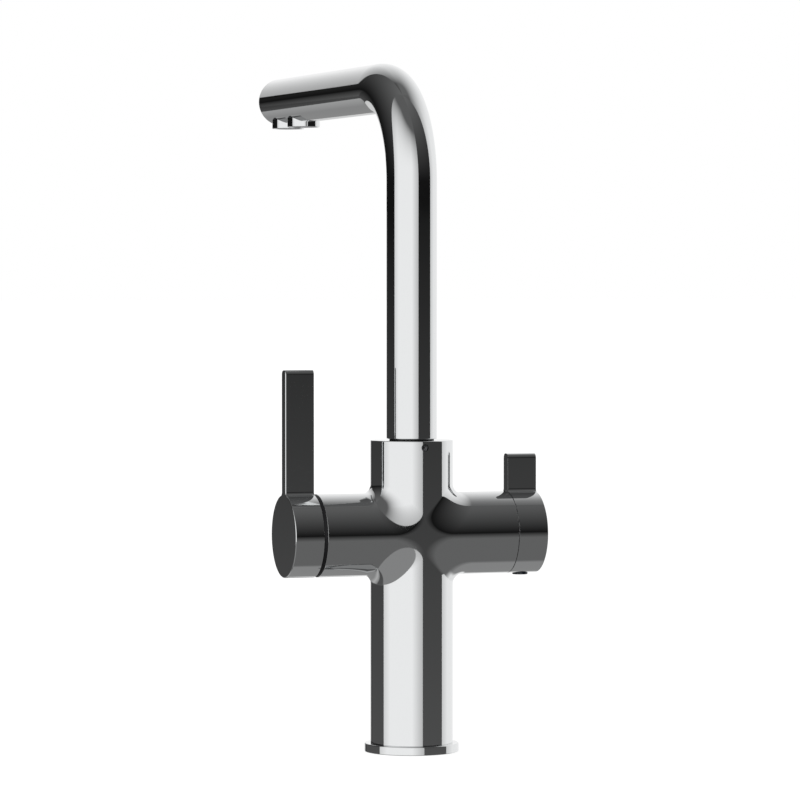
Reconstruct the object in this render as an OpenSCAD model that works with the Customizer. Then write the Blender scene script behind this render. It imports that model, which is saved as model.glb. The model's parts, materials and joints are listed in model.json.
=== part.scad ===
// Three-way kitchen mixer tap with a drinking water filter valve.
// Frame: origin under the middle of the base, Z up, spout towards -Y,
// mixer lever on the +X arm, filter knob on the -X arm. Millimetres.

/* [Body] */
// Diameter of the column and of both arms
body_d = 41.5; // [40:0.1:60]
// Height of the column's top face
body_top = 156.6; // [152:0.1:220]
// Height of the arm axis
arm_z = 109.3; // [60:0.1:111]
// Column axis to the end of the mixer arm
mixer_arm = 50.4; // [48:0.1:70]
// Column axis to the end of the filter arm
filter_arm = 50; // [48:0.1:70]
// Fillet between the column and the arms
blend_r = 4; // [2:0.1:6]
// Chamfer on the column's top edge and the arm ends
edge_c = 0.4; // [0.2:0.05:1]

/* [Base] */
// Diameter of the base ring
base_d = 47.4; // [45.5:0.1:70]
// Height of the base ring
base_h = 4.3; // [3:0.1:10]
// Radial width of the base ring round the foot
ring_w = 5.65; // [5:0.05:8]
// Height of the foot, the column's lower end with the hose ports
foot_h = 26; // [22:0.5:40]
// Radial width of the base gasket
gasket_w = 2.6; // [1.5:0.1:4]
// Thickness of the base gasket
gasket_t = 1.5; // [1:0.1:2]
// Tapping bore of the fixing stud, M8
stud_bore = 6.8; // [5:0.1:7.4]
// Depth of the stud bore
stud_depth = 20; // [10:0.5:40]
// Tapping bore of the hose ports, M10 x 1
port_bore = 9; // [7:0.1:9.6]
// Depth of the hose ports
port_depth = 12; // [8:0.5:30]
// Metal between a hose port and the foot's spigot in the base ring
port_wall = 2.5; // [1.5:0.1:3]
// Diameter of the waterways
way_d = 5; // [3:0.1:5.4]

/* [Spout] */
// Diameter of the spout tube
tube_d = 25.4; // [24:0.1:30]
// Wall of the spout tube
tube_wall = 1.5; // [1:0.1:2]
// Height of the level part's axis
spout_z = 334.8; // [260:0.1:450]
// Column axis to the closed tip
spout_reach = 225; // [180:0.5:300]
// Radius of the bend on the tube's axis
bend_r = 48.5; // [30:0.5:80]
// Thickness of the tip plug
plug_t = 3; // [2:0.1:6]
// Diameter of the nipple that turns in the column
nipple_d = 20; // [19:0.1:20.6]
// Depth of the nipple's socket
socket_depth = 25.6; // [24:0.1:30]
// Height of the slide ring that shows under the tube
swivel_gap = 0.55; // [0.3:0.05:2]
// Depth of the slide ring's seat
ring_seat = 1.2; // [0.8:0.1:1.6]
// Retaining screw below the column's top face
screw_drop = 3.3; // [3.1:0.1:4]
// Diameter of the retaining screw's hole
screw_bore = 3.3; // [2.5:0.1:3.5]
// Outside diameter of the inner filter tube
inner_d = 8; // [6:0.1:8.6]
// Wall of the inner filter tube
inner_wall = 1; // [0.6:0.1:1.5]
// Bend of the inner tube above its outlet
inner_bend = 9; // [8:0.1:10]
// Depth of the inner tube's socket under the nipple's socket
inner_socket = 13; // [11:0.1:14]

/* [Outlets] */
// Diameter of an outlet collar
outlet_d = 17.6; // [16:0.1:20]
// Collar's lower edge below the tube
outlet_drop = 2.5; // [1.5:0.1:6]
// Tip to the first outlet's axis
outlet_tip = 14.5; // [13:0.1:30]
// Pitch of the two outlets
outlet_pitch = 28.2; // [24:0.1:50]
// Wall of an outlet collar
outlet_wall = 1.4; // [1:0.1:1.6]
// Length of an outlet insert
insert_l = 3.8; // [3:0.1:4.4]
// Diameter of the jets of the mixed water aerator
jet_d = 1.5; // [1:0.1:1.8]
// Diameter of the jets of the filter water insert
filter_jet_d = 2.6; // [1.5:0.1:3]

/* [Mixer cartridge] */
// Diameter of the cartridge
cart_d = 35; // [34:0.1:36]
// Column axis to the cartridge's seat
cart_seat = 20; // [19.5:0.1:21]
// Thickness of the cartridge base
cart_base_t = 3.6; // [3:0.1:4]
// Height of the base seals above the base
cart_seal_h = 0.4; // [0.3:0.05:0.6]
// Thickness of a mixing disc
disc_t = 4; // [3:0.1:4.2]
// Diameter of the fixed mixing disc
disc_d = 27; // [26:0.1:27.6]
// Diameter of the moving mixing disc
moving_d = 20; // [18:0.1:21]
// Thickness of the disc carrier
carrier_t = 3.5; // [3:0.1:3.8]
// Height of the carrier's tongue
tongue_h = 3.5; // [3:0.1:3.8]
// Diameter of the rotor's barrel
rotor_d = 20; // [19:0.1:21]
// Column axis to the lever's pivot
pivot_x = 45; // [44.6:0.1:45.4]
// Diameter of the pivot pin
pin_d = 3; // [2:0.1:3.4]
// Width of the square lever stem
stem_w = 7; // [6:0.1:7.4]
// Pivot to the ball of the stem
ball_arm = 9; // [8.6:0.1:9.4]
// Diameter of the stem's ball
ball_d = 5; // [4:0.1:5.4]

/* [Mixer lever] */
// Gap between the mixer arm and the lever's hub
lever_gap = 2; // [1.6:0.1:3]
// Length of the lever's hub and width of its blade
hub_l = 14.9; // [14:0.1:20]
// Wall at the hub's end
hub_end = 4.4; // [3:0.1:4.6]
// Thickness of both blades
blade_t = 6.2; // [5:0.1:8]
// Top of the long blade above the arm axis
lever_rise = 82.8; // [50:0.1:120]
// Rounding of a blade's top across its thickness
top_r = 2.4; // [1:0.1:2.4]
// Rounding of a blade's top corners
corner_r = 1.2; // [0.5:0.1:3]
// Fillet at the foot of a blade
foot_r = 2; // [1:0.1:5]
// Diameter of the hub's boss
boss_d = 15; // [13:0.1:16]
// Diameter of the lever's screw plug
lever_plug_d = 6; // [5:0.1:7]

/* [Filter valve] */
// Column axis to the valve's seat
valve_seat_x = 20; // [19:0.1:20.6]
// Diameter of the valve's barrel
valve_d = 20; // [19:0.1:21]
// Diameter of the valve discs
valve_disc_d = 16.4; // [15:0.1:16.6]
// Thickness of a valve disc
valve_disc_t = 3; // [2:0.1:3.2]
// Height of the seat seal
seat_h = 2.4; // [2:0.1:3]
// Diameter of the valve's spindle
spindle_d = 9; // [8:0.1:9.4]
// Diameter of the spindle's driving end
spline_d = 8; // [6:0.1:8]
// Width across the flats of the valve's hexagon
valve_hex = 24; // [22:0.1:26]
// Thickness of the valve's hexagon
valve_hex_t = 4.4; // [3:0.1:5]

/* [Filter knob] */
// Seam between the filter arm and the knob
knob_seam = 0.3; // [0.3:0.05:1]
// Length of the knob and width of its blade
knob_l = 15.4; // [14.6:0.1:20]
// Depth of the recess in the knob
knob_recess = 3.2; // [2:0.1:4]
// Top of the short blade above the arm axis
knob_rise = 39.8; // [28:0.1:80]
// Diameter of the plug under the knob
knob_plug_d = 7.8; // [6:0.1:9]
// Height of the plug outside the knob
knob_plug_h = 0.8; // [0.2:0.1:2]
// Diameter of the knob's and lever's grub screws
grub_d = 4.2; // [3:0.1:5]

/* [Clearances] */
// Radial clearance of a turning fit
turn_c = 0.08; // [0.04:0.01:0.1]
// Radial clearance of a seated piece
seat_c = 0.05; // [0.02:0.01:0.1]
// Clearance between faces that pass each other
pass_c = 0.3; // [0.2:0.05:0.5]
// Clearance of the lever's cup over the dome
dome_c = 0.5; // [0.4:0.05:0.6]

/* [Hidden] */
$fn = 64;
eps = 0.01;
over = 1;

body_r = body_d / 2;
foot_rad = base_d / 2 - ring_w - seat_c;
port_r = foot_rad - port_bore / 2 - port_wall;
tube_r = tube_d / 2;
tube_in = tube_r - tube_wall;

// Socket of the spout
nipple_r = nipple_d / 2;
socket_r = nipple_r + turn_c;
socket_z = body_top - socket_depth;
tube_z = body_top + swivel_gap;
ring_in = nipple_r + turn_c;
ring_out = tube_in;
ring_z = body_top - ring_seat;
ring_lift = 0.03;
screw_z = body_top - screw_drop;
screw_r = screw_bore / 2;
keeper_w = screw_bore + 0.4;
keeper_deep = 1.6;
nipple_wall = 1.8;
nipple_bore = nipple_r - keeper_deep - nipple_wall;
nipple_head = 15;
nipple_z = socket_z + 0.6;
seal_t = 1.8;
seal_deep = seal_t - turn_c;
seal_groove = seal_t + 0.5;
nipple_seal_low = 6.5;
nipple_seal_pitch = 7;
nipple_seal_z = [socket_z + nipple_seal_low, socket_z + nipple_seal_low + nipple_seal_pitch];
inner_r = inner_d / 2;
inner_bore_r = inner_r + turn_c;
inner_socket_z = socket_z - inner_socket;
inner_z = inner_socket_z + 3.5;
inner_seal_t = 1.5;
inner_seal_drop = 5;
inner_seal_z = socket_z - inner_seal_drop;

// Level part of the spout
tube_bottom = spout_z - tube_r;
outlet_z = tube_bottom - outlet_drop;
mixed_y = -(spout_reach - outlet_tip);
filter_y = mixed_y + outlet_pitch;
outlet_r = outlet_d / 2;
insert_r = outlet_r - outlet_wall;
neck_r = insert_r + 0.1;
neck_z = spout_z - sqrt(pow(tube_in, 2) - pow(neck_r, 2)) + 0.2;
outlet_hole = insert_r - 1.4;
insert_lift = 0.3;
insert_z = outlet_z + insert_lift;
insert_plate = 1.2;
insert_wall = 1.1;
outlet_seal_t = 1;
outlet_seal_z = insert_z + insert_l;
outlet_step = outlet_seal_z + outlet_seal_t;
inner_end = 3;
stem_top = spout_z - inner_bend - 0.2;
stem_wall = 1.2;

// Mixer cartridge along the arm
cart_r = cart_d / 2;
cart_bore = cart_r + seat_c + 0.05;
nut_r = cart_r + 1.1;
nut_bore = nut_r + seat_c;
base_x0 = cart_seat + cart_seal_h;
base_x1 = base_x0 + cart_base_t;
fixed_x1 = base_x1 + disc_t;
moving_x0 = fixed_x1 + seat_c;
moving_x1 = moving_x0 + disc_t - 0.5;
carrier_x1 = moving_x1 + carrier_t;
tongue_x1 = carrier_x1 + tongue_h;
ball_x = pivot_x - ball_arm;
rotor_x0 = carrier_x1 + pass_c;
rotor_flange_t = 1.7;
rotor_x1 = rotor_x0 + rotor_flange_t;
rotor_top = pivot_x + 3.2;
rotor_r = rotor_d / 2;
rotor_bore = rotor_r + turn_c;
rotor_flange = rotor_r + 2.4;
disc_r = disc_d / 2;
cart_in = disc_r + 0.2;
cart_step = rotor_x1 + pass_c;
cart_land = 4.2;
cart_shoulder = cart_step + cart_land;
neck_out = rotor_bore + 3.6;
neck_top = rotor_top - 0.2;
nut_l = 5;
nut_x1 = cart_shoulder + nut_l;
nut_slot_w = 3;
nut_slot_deep = 1.6;
nut_slot_l = 2;
stem_half = stem_w / 2;
slot_w = stem_w + 1.4;
slot_h = stem_w + 4;
lift = 18;
travel = ball_arm * sin(lift);
tongue_w = slot_w - 2 * pass_c;
tongue_l = ball_d + 2.4;
ball_r = ball_d / 2;
ball_hole = ball_r + 0.2;
pin_r = pin_d / 2;
pin_l = 2 * (rotor_r - 0.6);
inlet_y = 5.8;
inlet_z = -4;
mixed_out_z = 6.5;
way_r = way_d / 2;
port_seal_w = 1.3;
port_seal_in = way_r + 0.1;
port_seal_deep = 0.8;
PORTS = [[inlet_y, inlet_z], [-inlet_y, inlet_z], [0, mixed_out_z]];

// Dome and the lever's cup share the pivot as their centre
hub_x0 = mixer_arm + lever_gap;
hub_x1 = hub_x0 + hub_l;
arm_corner = sqrt(pow(body_r, 2) + pow(mixer_arm - edge_c - pivot_x, 2));
cup_r = arm_corner + pass_c + 0.05;
dome_r = cup_r - dome_c;
dome_edge = 53;
dome_x1 = pivot_x + dome_r * cos(dome_edge);
dome_wall = 1.9;
dome_in = dome_r * sin(dome_edge) - dome_wall;
dome_skirt = nut_x1 + pass_c;
cup_end = hub_x1 - hub_end;
boss_r = boss_d / 2;
boss_l = 5.4;
boss_x0 = cup_end - boss_l;
stem_end = hub_x1 - 2;
stem_hole = stem_half + seat_c;
lever_screw_x = cup_end - 2.6;
grub_r = grub_d / 2;
grub_hole = grub_r + seat_c;
grub_l = 5;
key_r = 1.2;
key_deep = 2.4;
lever_plug_r = lever_plug_d / 2;
plug_deep = 2.2;

// Filter valve along the other arm
valve_r = valve_d / 2;
valve_bore = valve_r + seat_c;
chamber_r = valve_r + 2;
chamber_x0 = valve_seat_x + 3;
chamber_l = 10;
chamber_x1 = chamber_x0 + chamber_l;
shelf_l = 5;
valve_shelf = chamber_x1 + shelf_l;
hex_r = valve_hex / 2 / cos(30);
valve_pocket = hex_r + 1.2;
vdisc_r = valve_disc_d / 2;
vdisc_bore = vdisc_r + 0.15;
valve_port_y = 4.1;
valve_port_r = 2.6;
drive_port = 2.2;
seat_x1 = valve_seat_x + seat_h;
vfixed_x1 = seat_x1 + valve_disc_t;
vmoving_x0 = vfixed_x1 + seat_c;
vmoving_x1 = vmoving_x0 + valve_disc_t;
drive_x0 = vmoving_x1;
drive_x1 = drive_x0 + 3;
barrel_x0 = valve_seat_x + 1.2;
barrel_step = drive_x1 + pass_c;
washer_t = 0.6;
washer_w = 3;
hex_x0 = valve_shelf + washer_t;
hex_x1 = hex_x0 + valve_hex_t;
valve_neck_x1 = filter_arm - 1.6;
spindle_r = spindle_d / 2;
spindle_bore = spindle_r + turn_c;
valve_neck_r = spindle_bore + 3.2;
clip_x0 = valve_neck_x1 + pass_c - 0.2;
clip_t = 0.7;
clip_groove = 0.9;
spline_r = spline_d / 2;
knob_x0 = filter_arm + knob_seam;
knob_x1 = knob_x0 + knob_l;
recess_x1 = knob_x0 + knob_recess;
recess_r = body_r - 3.4;
spindle_x1 = knob_x1 - 3.6;
spline_x0 = clip_x0 + clip_t + 0.8;
knob_hole = spline_r + seat_c;
knob_screw_room = 4;
knob_screw_end = body_r - plug_deep - knob_screw_room;
knob_mid = (knob_x0 + knob_x1) / 2;
knob_plug_r = knob_plug_d / 2;
spindle_seal_t = 1.5;
spindle_seal_pitch = 5;
spindle_seal_x = [barrel_step + spindle_seal_pitch, barrel_step + 2 * spindle_seal_pitch];

// Colours of the solids
CHROME = [0.86, 0.87, 0.88];
BRASS = [0.78, 0.62, 0.30];
STEEL = [0.62, 0.63, 0.65];
RUBBER = [0.10, 0.10, 0.11];
CERAMIC = [0.90, 0.88, 0.84];
PLASTIC = [0.20, 0.21, 0.24];
WHITE = [0.92, 0.93, 0.94];

// Places a piece that is drawn along Z on the mixer arm, its up side towards -X
module on_mixer() {
    translate([0, 0, arm_z]) rotate([0, 90, 0]) children();
}

// Places a piece that is drawn along Z on the filter arm, its up side towards +X
module on_filter() {
    translate([0, 0, arm_z]) rotate([0, -90, 0]) children();
}

// Round bar between two heights
module bar(r, z0, z1) {
    translate([0, 0, z0]) cylinder(r = r, h = z1 - z0);
}

// Round bar with a bore through it
module sleeve(r_out, r_in, z0, z1) {
    difference() {
        bar(r_out, z0, z1);
        bar(r_in, z0 - over, z1 + over);
    }
}

// Round seal with a round section
module o_ring(r_mid, t, z) {
    translate([0, 0, z]) rotate_extrude() translate([r_mid, 0]) circle(d = t, $fn = 24);
}

// Groove for a round seal, cut into a shaft
module shaft_groove(r, deep, w, z) {
    sleeve(r + over, r - deep, z - w / 2, z + w / 2);
}

// Grub screw along Z with a hexagon socket in its upper end
module grub(r, z0, z1) {
    difference() {
        bar(r, z0, z1);
        translate([0, 0, z1 - key_deep]) cylinder(r = key_r, h = key_deep + over, $fn = 6);
    }
}

// Rolling-ball fillet in the corner between the column and one arm
// Each section is an arc of the ball, closed by a point inside the metal
blend_sink = 0.03;
blend_span = 72;
blend_n = 28;
blend_m = 6;
function blend_ball(R, a) = [(R + blend_r) * cos(a), (R + blend_r) * sin(a), (R + blend_r) * cos(a)];
function blend_turn(a) = acos(pow(sin(a), 2));
function blend_dir(a, t) =
    let (w = blend_turn(a))
    (sin((1 - t) * w) * [-cos(a), -sin(a), 0] + sin(t * w) * [0, -sin(a), -cos(a)]) / sin(w);
function blend_section(R, a) = concat(
    [for (j = [0 : blend_m]) blend_ball(R, a) + blend_r * blend_dir(a, j / blend_m)],
    [[0.8 * R * cos(a), 0.9 * R * sin(a), 0.8 * R * cos(a)]]
);
module blend() {
    R = body_r - blend_sink;
    k = blend_m + 2;
    pts = [for (i = [0 : blend_n], p = blend_section(R, -blend_span + 2 * blend_span * i / blend_n)) p];
    sides = [for (i = [0 : blend_n - 1], j = [0 : k - 1], h = [0, 1])
        let (a = i * k + j, b = i * k + (j + 1) % k)
        h == 0 ? [a, b, b + k] : [a, b + k, a + k]];
    ends = [for (j = [0 : blend_m - 1], h = [0, 1])
        let (s = h * blend_n * k, c = s + k - 1)
        h == 0 ? [c, s + j + 1, s + j] : [c, s + j, s + j + 1]];
    polyhedron(points = pts, faces = concat(sides, ends), convexity = 4);
}

// Column outline turned round its axis, from the foot up
module column() {
    rotate_extrude() polygon([
        [0, foot_h], [body_r, foot_h], [body_r, body_top - edge_c], [body_r - edge_c, body_top], [0, body_top]
    ]);
}

// Both arms as one turned bar
module arms() {
    on_mixer() rotate_extrude() polygon([
        [0, -filter_arm], [body_r - edge_c, -filter_arm], [body_r, edge_c - filter_arm],
        [body_r, mixer_arm - edge_c], [body_r - edge_c, mixer_arm], [0, mixer_arm]
    ]);
}

// Waterways from the hose ports to the valves and on to the spout
module waterways() {
    hot_x = port_r * cos(60);
    rise_y = port_r * sin(60) - 1.6;
    for (s = [-1, 1]) {
        translate([hot_x, s * rise_y, 0]) bar(way_r, port_depth - over, arm_z + inlet_z);
        translate([0, s * inlet_y, inlet_z]) on_mixer() bar(way_r, hot_x, cart_seat + eps);
    }
    translate([0, 0, mixed_out_z]) on_mixer() bar(way_r, socket_r - 1.6, cart_seat + eps);
    translate([socket_r - 1.6, 0, 0]) bar(way_r - 0.2, arm_z + mixed_out_z, socket_z + eps);
    translate([-port_r, 0, 0]) bar(way_r, port_depth - over, arm_z);
    on_filter() bar(way_r, port_r, valve_seat_x + eps);
    translate([0, 0, valve_r - 0.4]) on_filter() bar(way_r - 0.6, 0, chamber_x0 + 4);
}

module body() {
    color(CHROME) difference() {
        union() {
            column();
            arms();
            translate([0, 0, arm_z]) for (m = [0, 1], n = [0, 1])
                mirror([m, 0, 0]) mirror([0, 0, n]) blend();
        }
        bar(socket_r, socket_z, body_top + over);
        bar(ring_out + seat_c, ring_z, body_top + over);
        bar(inner_bore_r, inner_socket_z, socket_z + over);
        bar(inner_r + inner_seal_t, inner_seal_z - 1, inner_seal_z + 1);
        translate([0, 0, screw_z]) rotate([-90, 0, 0]) bar(screw_r, 0, body_r + over);
        on_mixer() {
            bar(cart_bore, cart_seat, mixer_arm + over);
            bar(nut_bore, cart_shoulder, mixer_arm + over);
        }
        on_filter() {
            bar(valve_bore, valve_seat_x, filter_arm + over);
            bar(chamber_r, chamber_x0, chamber_x1);
            bar(valve_pocket, valve_shelf, filter_arm + over);
        }
        waterways();
    }
}

// Lower end of the column, brazed on, with a spigot in the base ring, the stud thread and the hose ports
module foot() {
    color(CHROME) difference() {
        rotate_extrude() polygon([
            [0, 0], [foot_rad, 0], [foot_rad, base_h], [body_r - edge_c, base_h], [body_r, base_h + edge_c],
            [body_r, foot_h], [0, foot_h]
        ]);
        bar(stud_bore / 2, -over, stud_depth);
        for (a = [-60, 60, 180]) rotate([0, 0, a]) translate([port_r, 0, 0]) bar(port_bore / 2, -over, port_depth);
        waterways();
    }
}

module base_ring() {
    gasket_out = base_d / 2 - 1.2;
    color(CHROME) difference() {
        rotate_extrude() polygon([
            [foot_rad + seat_c, 0], [base_d / 2, 0], [base_d / 2, base_h - edge_c],
            [base_d / 2 - edge_c, base_h], [foot_rad + seat_c, base_h]
        ]);
        sleeve(gasket_out + seat_c, gasket_out - gasket_w - seat_c, -over, gasket_t);
    }
}

module base_gasket() {
    gasket_out = base_d / 2 - 1.2;
    color(RUBBER) sleeve(gasket_out, gasket_out - gasket_w, 0, gasket_t);
}

module collar_screw() {
    color(STEEL) translate([0, 0, screw_z]) rotate([-90, 0, 0])
        grub(screw_r - seat_c, nipple_r - keeper_deep + pass_c, body_r - 3.4);
}

module slide_ring() {
    color(PLASTIC) sleeve(ring_out, ring_in, ring_z, tube_z - ring_lift);
}

module filter_tube_seal() {
    color(RUBBER) o_ring(inner_bore_r + (inner_seal_t - turn_c) / 2, inner_seal_t - turn_c - 0.04, inner_seal_z);
}

module cartridge_seals() {
    color(RUBBER) on_mixer() for (p = PORTS) translate([-p[1], p[0], 0])
        sleeve(port_seal_in + port_seal_w, port_seal_in, cart_seat, base_x0 + port_seal_deep);
}

module cartridge_base() {
    color(WHITE) on_mixer() difference() {
        bar(cart_r, base_x0, base_x1);
        for (p = PORTS) translate([-p[1], p[0], 0]) {
            bar(way_r, base_x0 - over, base_x1 + over);
            bar(port_seal_in + port_seal_w + seat_c, base_x0 - over, base_x0 + port_seal_deep);
        }
    }
}

module fixed_disc() {
    color(CERAMIC) on_mixer() difference() {
        bar(disc_r, base_x1, fixed_x1);
        for (p = PORTS) translate([-p[1], p[0], 0]) bar(way_r, base_x1 - over, fixed_x1 + over);
    }
}

module cartridge_housing() {
    color(PLASTIC) on_mixer() difference() {
        rotate_extrude() polygon([
            [rotor_bore, cart_step], [cart_in, cart_step], [cart_in, base_x1], [cart_r, base_x1],
            [cart_r, cart_shoulder], [neck_out, cart_shoulder], [neck_out, neck_top], [rotor_bore, neck_top]
        ]);
    }
}

module cartridge_nut() {
    slots = 6;
    color(BRASS) on_mixer() difference() {
        sleeve(nut_r, neck_out + 0.15, cart_shoulder, nut_x1);
        for (i = [0 : slots - 1]) rotate([0, 0, i * 360 / slots])
            translate([nut_r, 0, nut_x1]) cube([2 * nut_slot_deep, nut_slot_w, 2 * nut_slot_l], center = true);
    }
}

module dome_ring() {
    color(CHROME) on_mixer() difference() {
        union() {
            intersection() {
                translate([0, 0, pivot_x]) sphere(r = dome_r);
                bar(body_r, mixer_arm, dome_x1);
            }
            bar(nut_r, dome_skirt, mixer_arm);
        }
        bar(dome_in, dome_skirt - over, dome_x1 + over);
    }
}

module valve_body() {
    windows = 2;
    window_w = 8;
    window_deep = 3;
    window_l = 4;
    color(BRASS) on_filter() difference() {
        union() {
            bar(valve_r, barrel_x0, valve_shelf + washer_t);
            translate([0, 0, hex_x0]) cylinder(r = hex_r, h = valve_hex_t, $fn = 6);
            bar(valve_neck_r, hex_x1, valve_neck_x1);
        }
        bar(vdisc_bore, barrel_x0 - over, barrel_step);
        bar(spindle_bore, barrel_step - over, valve_neck_x1 + over);
        for (i = [0 : windows - 1]) rotate([0, 0, i * 360 / windows])
            translate([valve_r, 0, (vmoving_x1 + barrel_step) / 2]) cube([2 * window_deep, window_w, window_l], center = true);
    }
}

module valve_washer() {
    color(RUBBER) on_filter() sleeve(valve_r + washer_w, valve_r + 0.1, valve_shelf, hex_x0);
}

module valve_seat() {
    color(RUBBER) on_filter() sleeve(vdisc_r, way_r + 0.5, valve_seat_x, seat_x1);
}

// Ceramic disc with two half openings
module port_disc(x0, x1) {
    difference() {
        bar(vdisc_r, x0, x1);
        valve_ports(x0 - over, x1 + over);
    }
}

// Openings of the valve discs and of the spindle's foot
module valve_ports(x0, x1) {
    for (s = [-1, 1]) translate([0, s * valve_port_y, 0]) bar(valve_port_r, x0, x1);
}

module valve_fixed_disc() {
    color(CERAMIC) on_filter() port_disc(seat_x1, vfixed_x1);
}

module valve_moving_disc() {
    color(CERAMIC) on_filter() rotate([0, 0, 90]) port_disc(vmoving_x0, vmoving_x1);
}

// Tube along the spout: up the column's axis, round the bend and level to a given distance
module spout_path(r, z0, y1) {
    bar(r, z0, spout_z - bend_r);
    translate([0, -bend_r, spout_z - bend_r]) rotate([90, 0, 90]) rotate_extrude(angle = 90)
        translate([bend_r, 0]) circle(r = r);
    translate([0, -bend_r, spout_z]) rotate([90, 0, 0]) bar(r, 0, -y1 - bend_r);
}

module spout_tube() {
    color(CHROME) difference() {
        spout_path(tube_r, tube_z, -spout_reach);
        spout_path(tube_in, tube_z - over, -spout_reach - over);
        for (y = [mixed_y, filter_y]) translate([0, y, 0]) bar(neck_r + seat_c, outlet_z, spout_z - tube_in / 3);
    }
}

module spout_plug() {
    color(CHROME) translate([0, 0, spout_z]) rotate([90, 0, 0]) bar(tube_in - seat_c, spout_reach - plug_t, spout_reach);
}

module spout_nipple() {
    color(BRASS) difference() {
        union() {
            bar(nipple_r, nipple_z, tube_z + over);
            bar(tube_in - seat_c, tube_z, tube_z + nipple_head);
        }
        bar(nipple_bore, nipple_z - over, tube_z + nipple_head + over);
        shaft_groove(nipple_r, keeper_deep, keeper_w, screw_z);
        for (z = nipple_seal_z) shaft_groove(nipple_r, seal_deep, seal_groove, z);
    }
}

module nipple_seals() {
    color(RUBBER) for (z = nipple_seal_z) o_ring(nipple_r - seal_deep / 2, seal_deep - 0.06, z);
}

module filter_tube() {
    color(WHITE) difference() {
        inner_path(inner_r, inner_z);
        inner_path(inner_r - inner_wall, inner_z - over, over);
    }
}

// Inner tube: along the spout and down into the filter outlet
module inner_path(r, z0, more = 0) {
    spout_path(r, z0, filter_y + inner_bend);
    translate([0, filter_y + inner_bend, spout_z - inner_bend]) rotate([90, 0, 90]) rotate([0, 0, 90])
        rotate_extrude(angle = 90) translate([inner_bend, 0]) circle(r = r);
    translate([0, filter_y, 0]) bar(r, spout_z - inner_bend - inner_end - more, spout_z - inner_bend);
}

// Collar under the tube, seated on its round side, with a neck through the wall
module collar(y) {
    translate([0, y, 0]) difference() {
        union() {
            difference() {
                bar(outlet_r, outlet_z, spout_z - tube_in / 2);
                translate([0, 0, spout_z]) rotate([90, 0, 0]) cylinder(r = tube_r + 0.02, h = 3 * outlet_d, center = true);
            }
            bar(neck_r, outlet_z, neck_z);
        }
        bar(insert_r + seat_c, outlet_z - over, outlet_step);
        bar(outlet_hole, outlet_step - over, spout_z);
    }
}

// Insert of an outlet: a cup with rings of jets in its floor
module insert(y, jet, rings) {
    jet_pitch = (insert_r - insert_wall) / (rings + 0.35);
    translate([0, y, 0]) difference() {
        bar(insert_r, insert_z, insert_z + insert_l);
        bar(insert_r - insert_wall, insert_z + insert_plate, insert_z + insert_l + over);
        bar(jet / 2, insert_z - over, insert_z + insert_plate + over);
        for (k = [1 : rings], i = [0 : 6 * k - 1]) rotate([0, 0, i * 60 / k])
            translate([k * jet_pitch, 0, 0]) bar(jet / 2, insert_z - over, insert_z + insert_plate + over);
    }
}

module outlet_seal(y) {
    translate([0, y, 0]) sleeve(insert_r - seat_c, outlet_hole, outlet_seal_z, outlet_step);
}

module mixed_outlet() {
    color(CHROME) collar(mixed_y);
}

module mixed_aerator() {
    color(WHITE) insert(mixed_y, jet_d, 2);
}

module mixed_seal() {
    color(RUBBER) outlet_seal(mixed_y);
}

module filter_outlet() {
    color(CHROME) union() {
        collar(filter_y);
        translate([0, filter_y, 0]) difference() {
            bar(outlet_hole + 0.4, outlet_step + 0.6, stem_top);
            bar(inner_r + seat_c, outlet_step - over, stem_top + over);
        }
    }
}

module filter_insert() {
    color(WHITE) insert(filter_y, filter_jet_d, 1);
}

module filter_seal() {
    color(RUBBER) outlet_seal(filter_y);
}

module cartridge_rotor() {
    guide_up = tongue_l / 2 + travel + pass_c + 0.3;
    guide_down = tongue_l / 2 + pass_c;
    color(WHITE) on_mixer() difference() {
        union() {
            bar(rotor_flange, rotor_x0, rotor_x1);
            bar(rotor_r, rotor_x0, rotor_top);
        }
        translate([-slot_h / 2, -slot_w / 2, rotor_x0 - over]) cube([slot_h, slot_w, rotor_top - rotor_x0 + 2 * over]);
        translate([-guide_up, -slot_w / 2, rotor_x0 - over])
            cube([guide_up + guide_down, slot_w, tongue_x1 + pass_c - rotor_x0 + over]);
        translate([0, 0, pivot_x]) rotate([90, 0, 0]) cylinder(r = pin_r + 0.02, h = 2 * rotor_r + over, center = true);
    }
}

module pivot_pin() {
    color(STEEL) on_mixer() translate([0, 0, pivot_x]) rotate([90, 0, 0]) cylinder(r = pin_r, h = pin_l, center = true);
}

// Points along an arc
function arc(cx, cy, r, a0, a1, n) = [for (i = [0 : n]) let (a = a0 + (a1 - a0) * i / n) [cx + r * cos(a), cy + r * sin(a)]];
foot_sink = 0.03;
arc_n = 8;

// Blade seen along the arm: rounded top, and fillets that run out on the hub
module blade_outline(rise) {
    half = blade_t / 2;
    cy = half + foot_r - foot_sink;
    cz = sqrt(pow(body_r + foot_r - foot_sink, 2) - pow(cy, 2));
    lean = atan2(cz, cy);
    root = body_r - 2 * foot_r;
    polygon(concat(
        [[half, root]],
        arc(cy, cz, foot_r, 180 + lean, 180, arc_n),
        arc(half - top_r, rise - top_r, top_r, 0, 90, arc_n),
        arc(top_r - half, rise - top_r, top_r, 90, 180, arc_n),
        arc(-cy, cz, foot_r, 0, -lean, arc_n),
        [[-half, root]]
    ));
}

// Blade seen across the arm, with its rounded top corners
module blade_front(l, rise) {
    polygon(concat(
        [[0, 0], [l, 0]],
        arc(l - corner_r, rise - corner_r, corner_r, 0, 90, arc_n),
        arc(corner_r, rise - corner_r, corner_r, 90, 180, arc_n)
    ));
}

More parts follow.
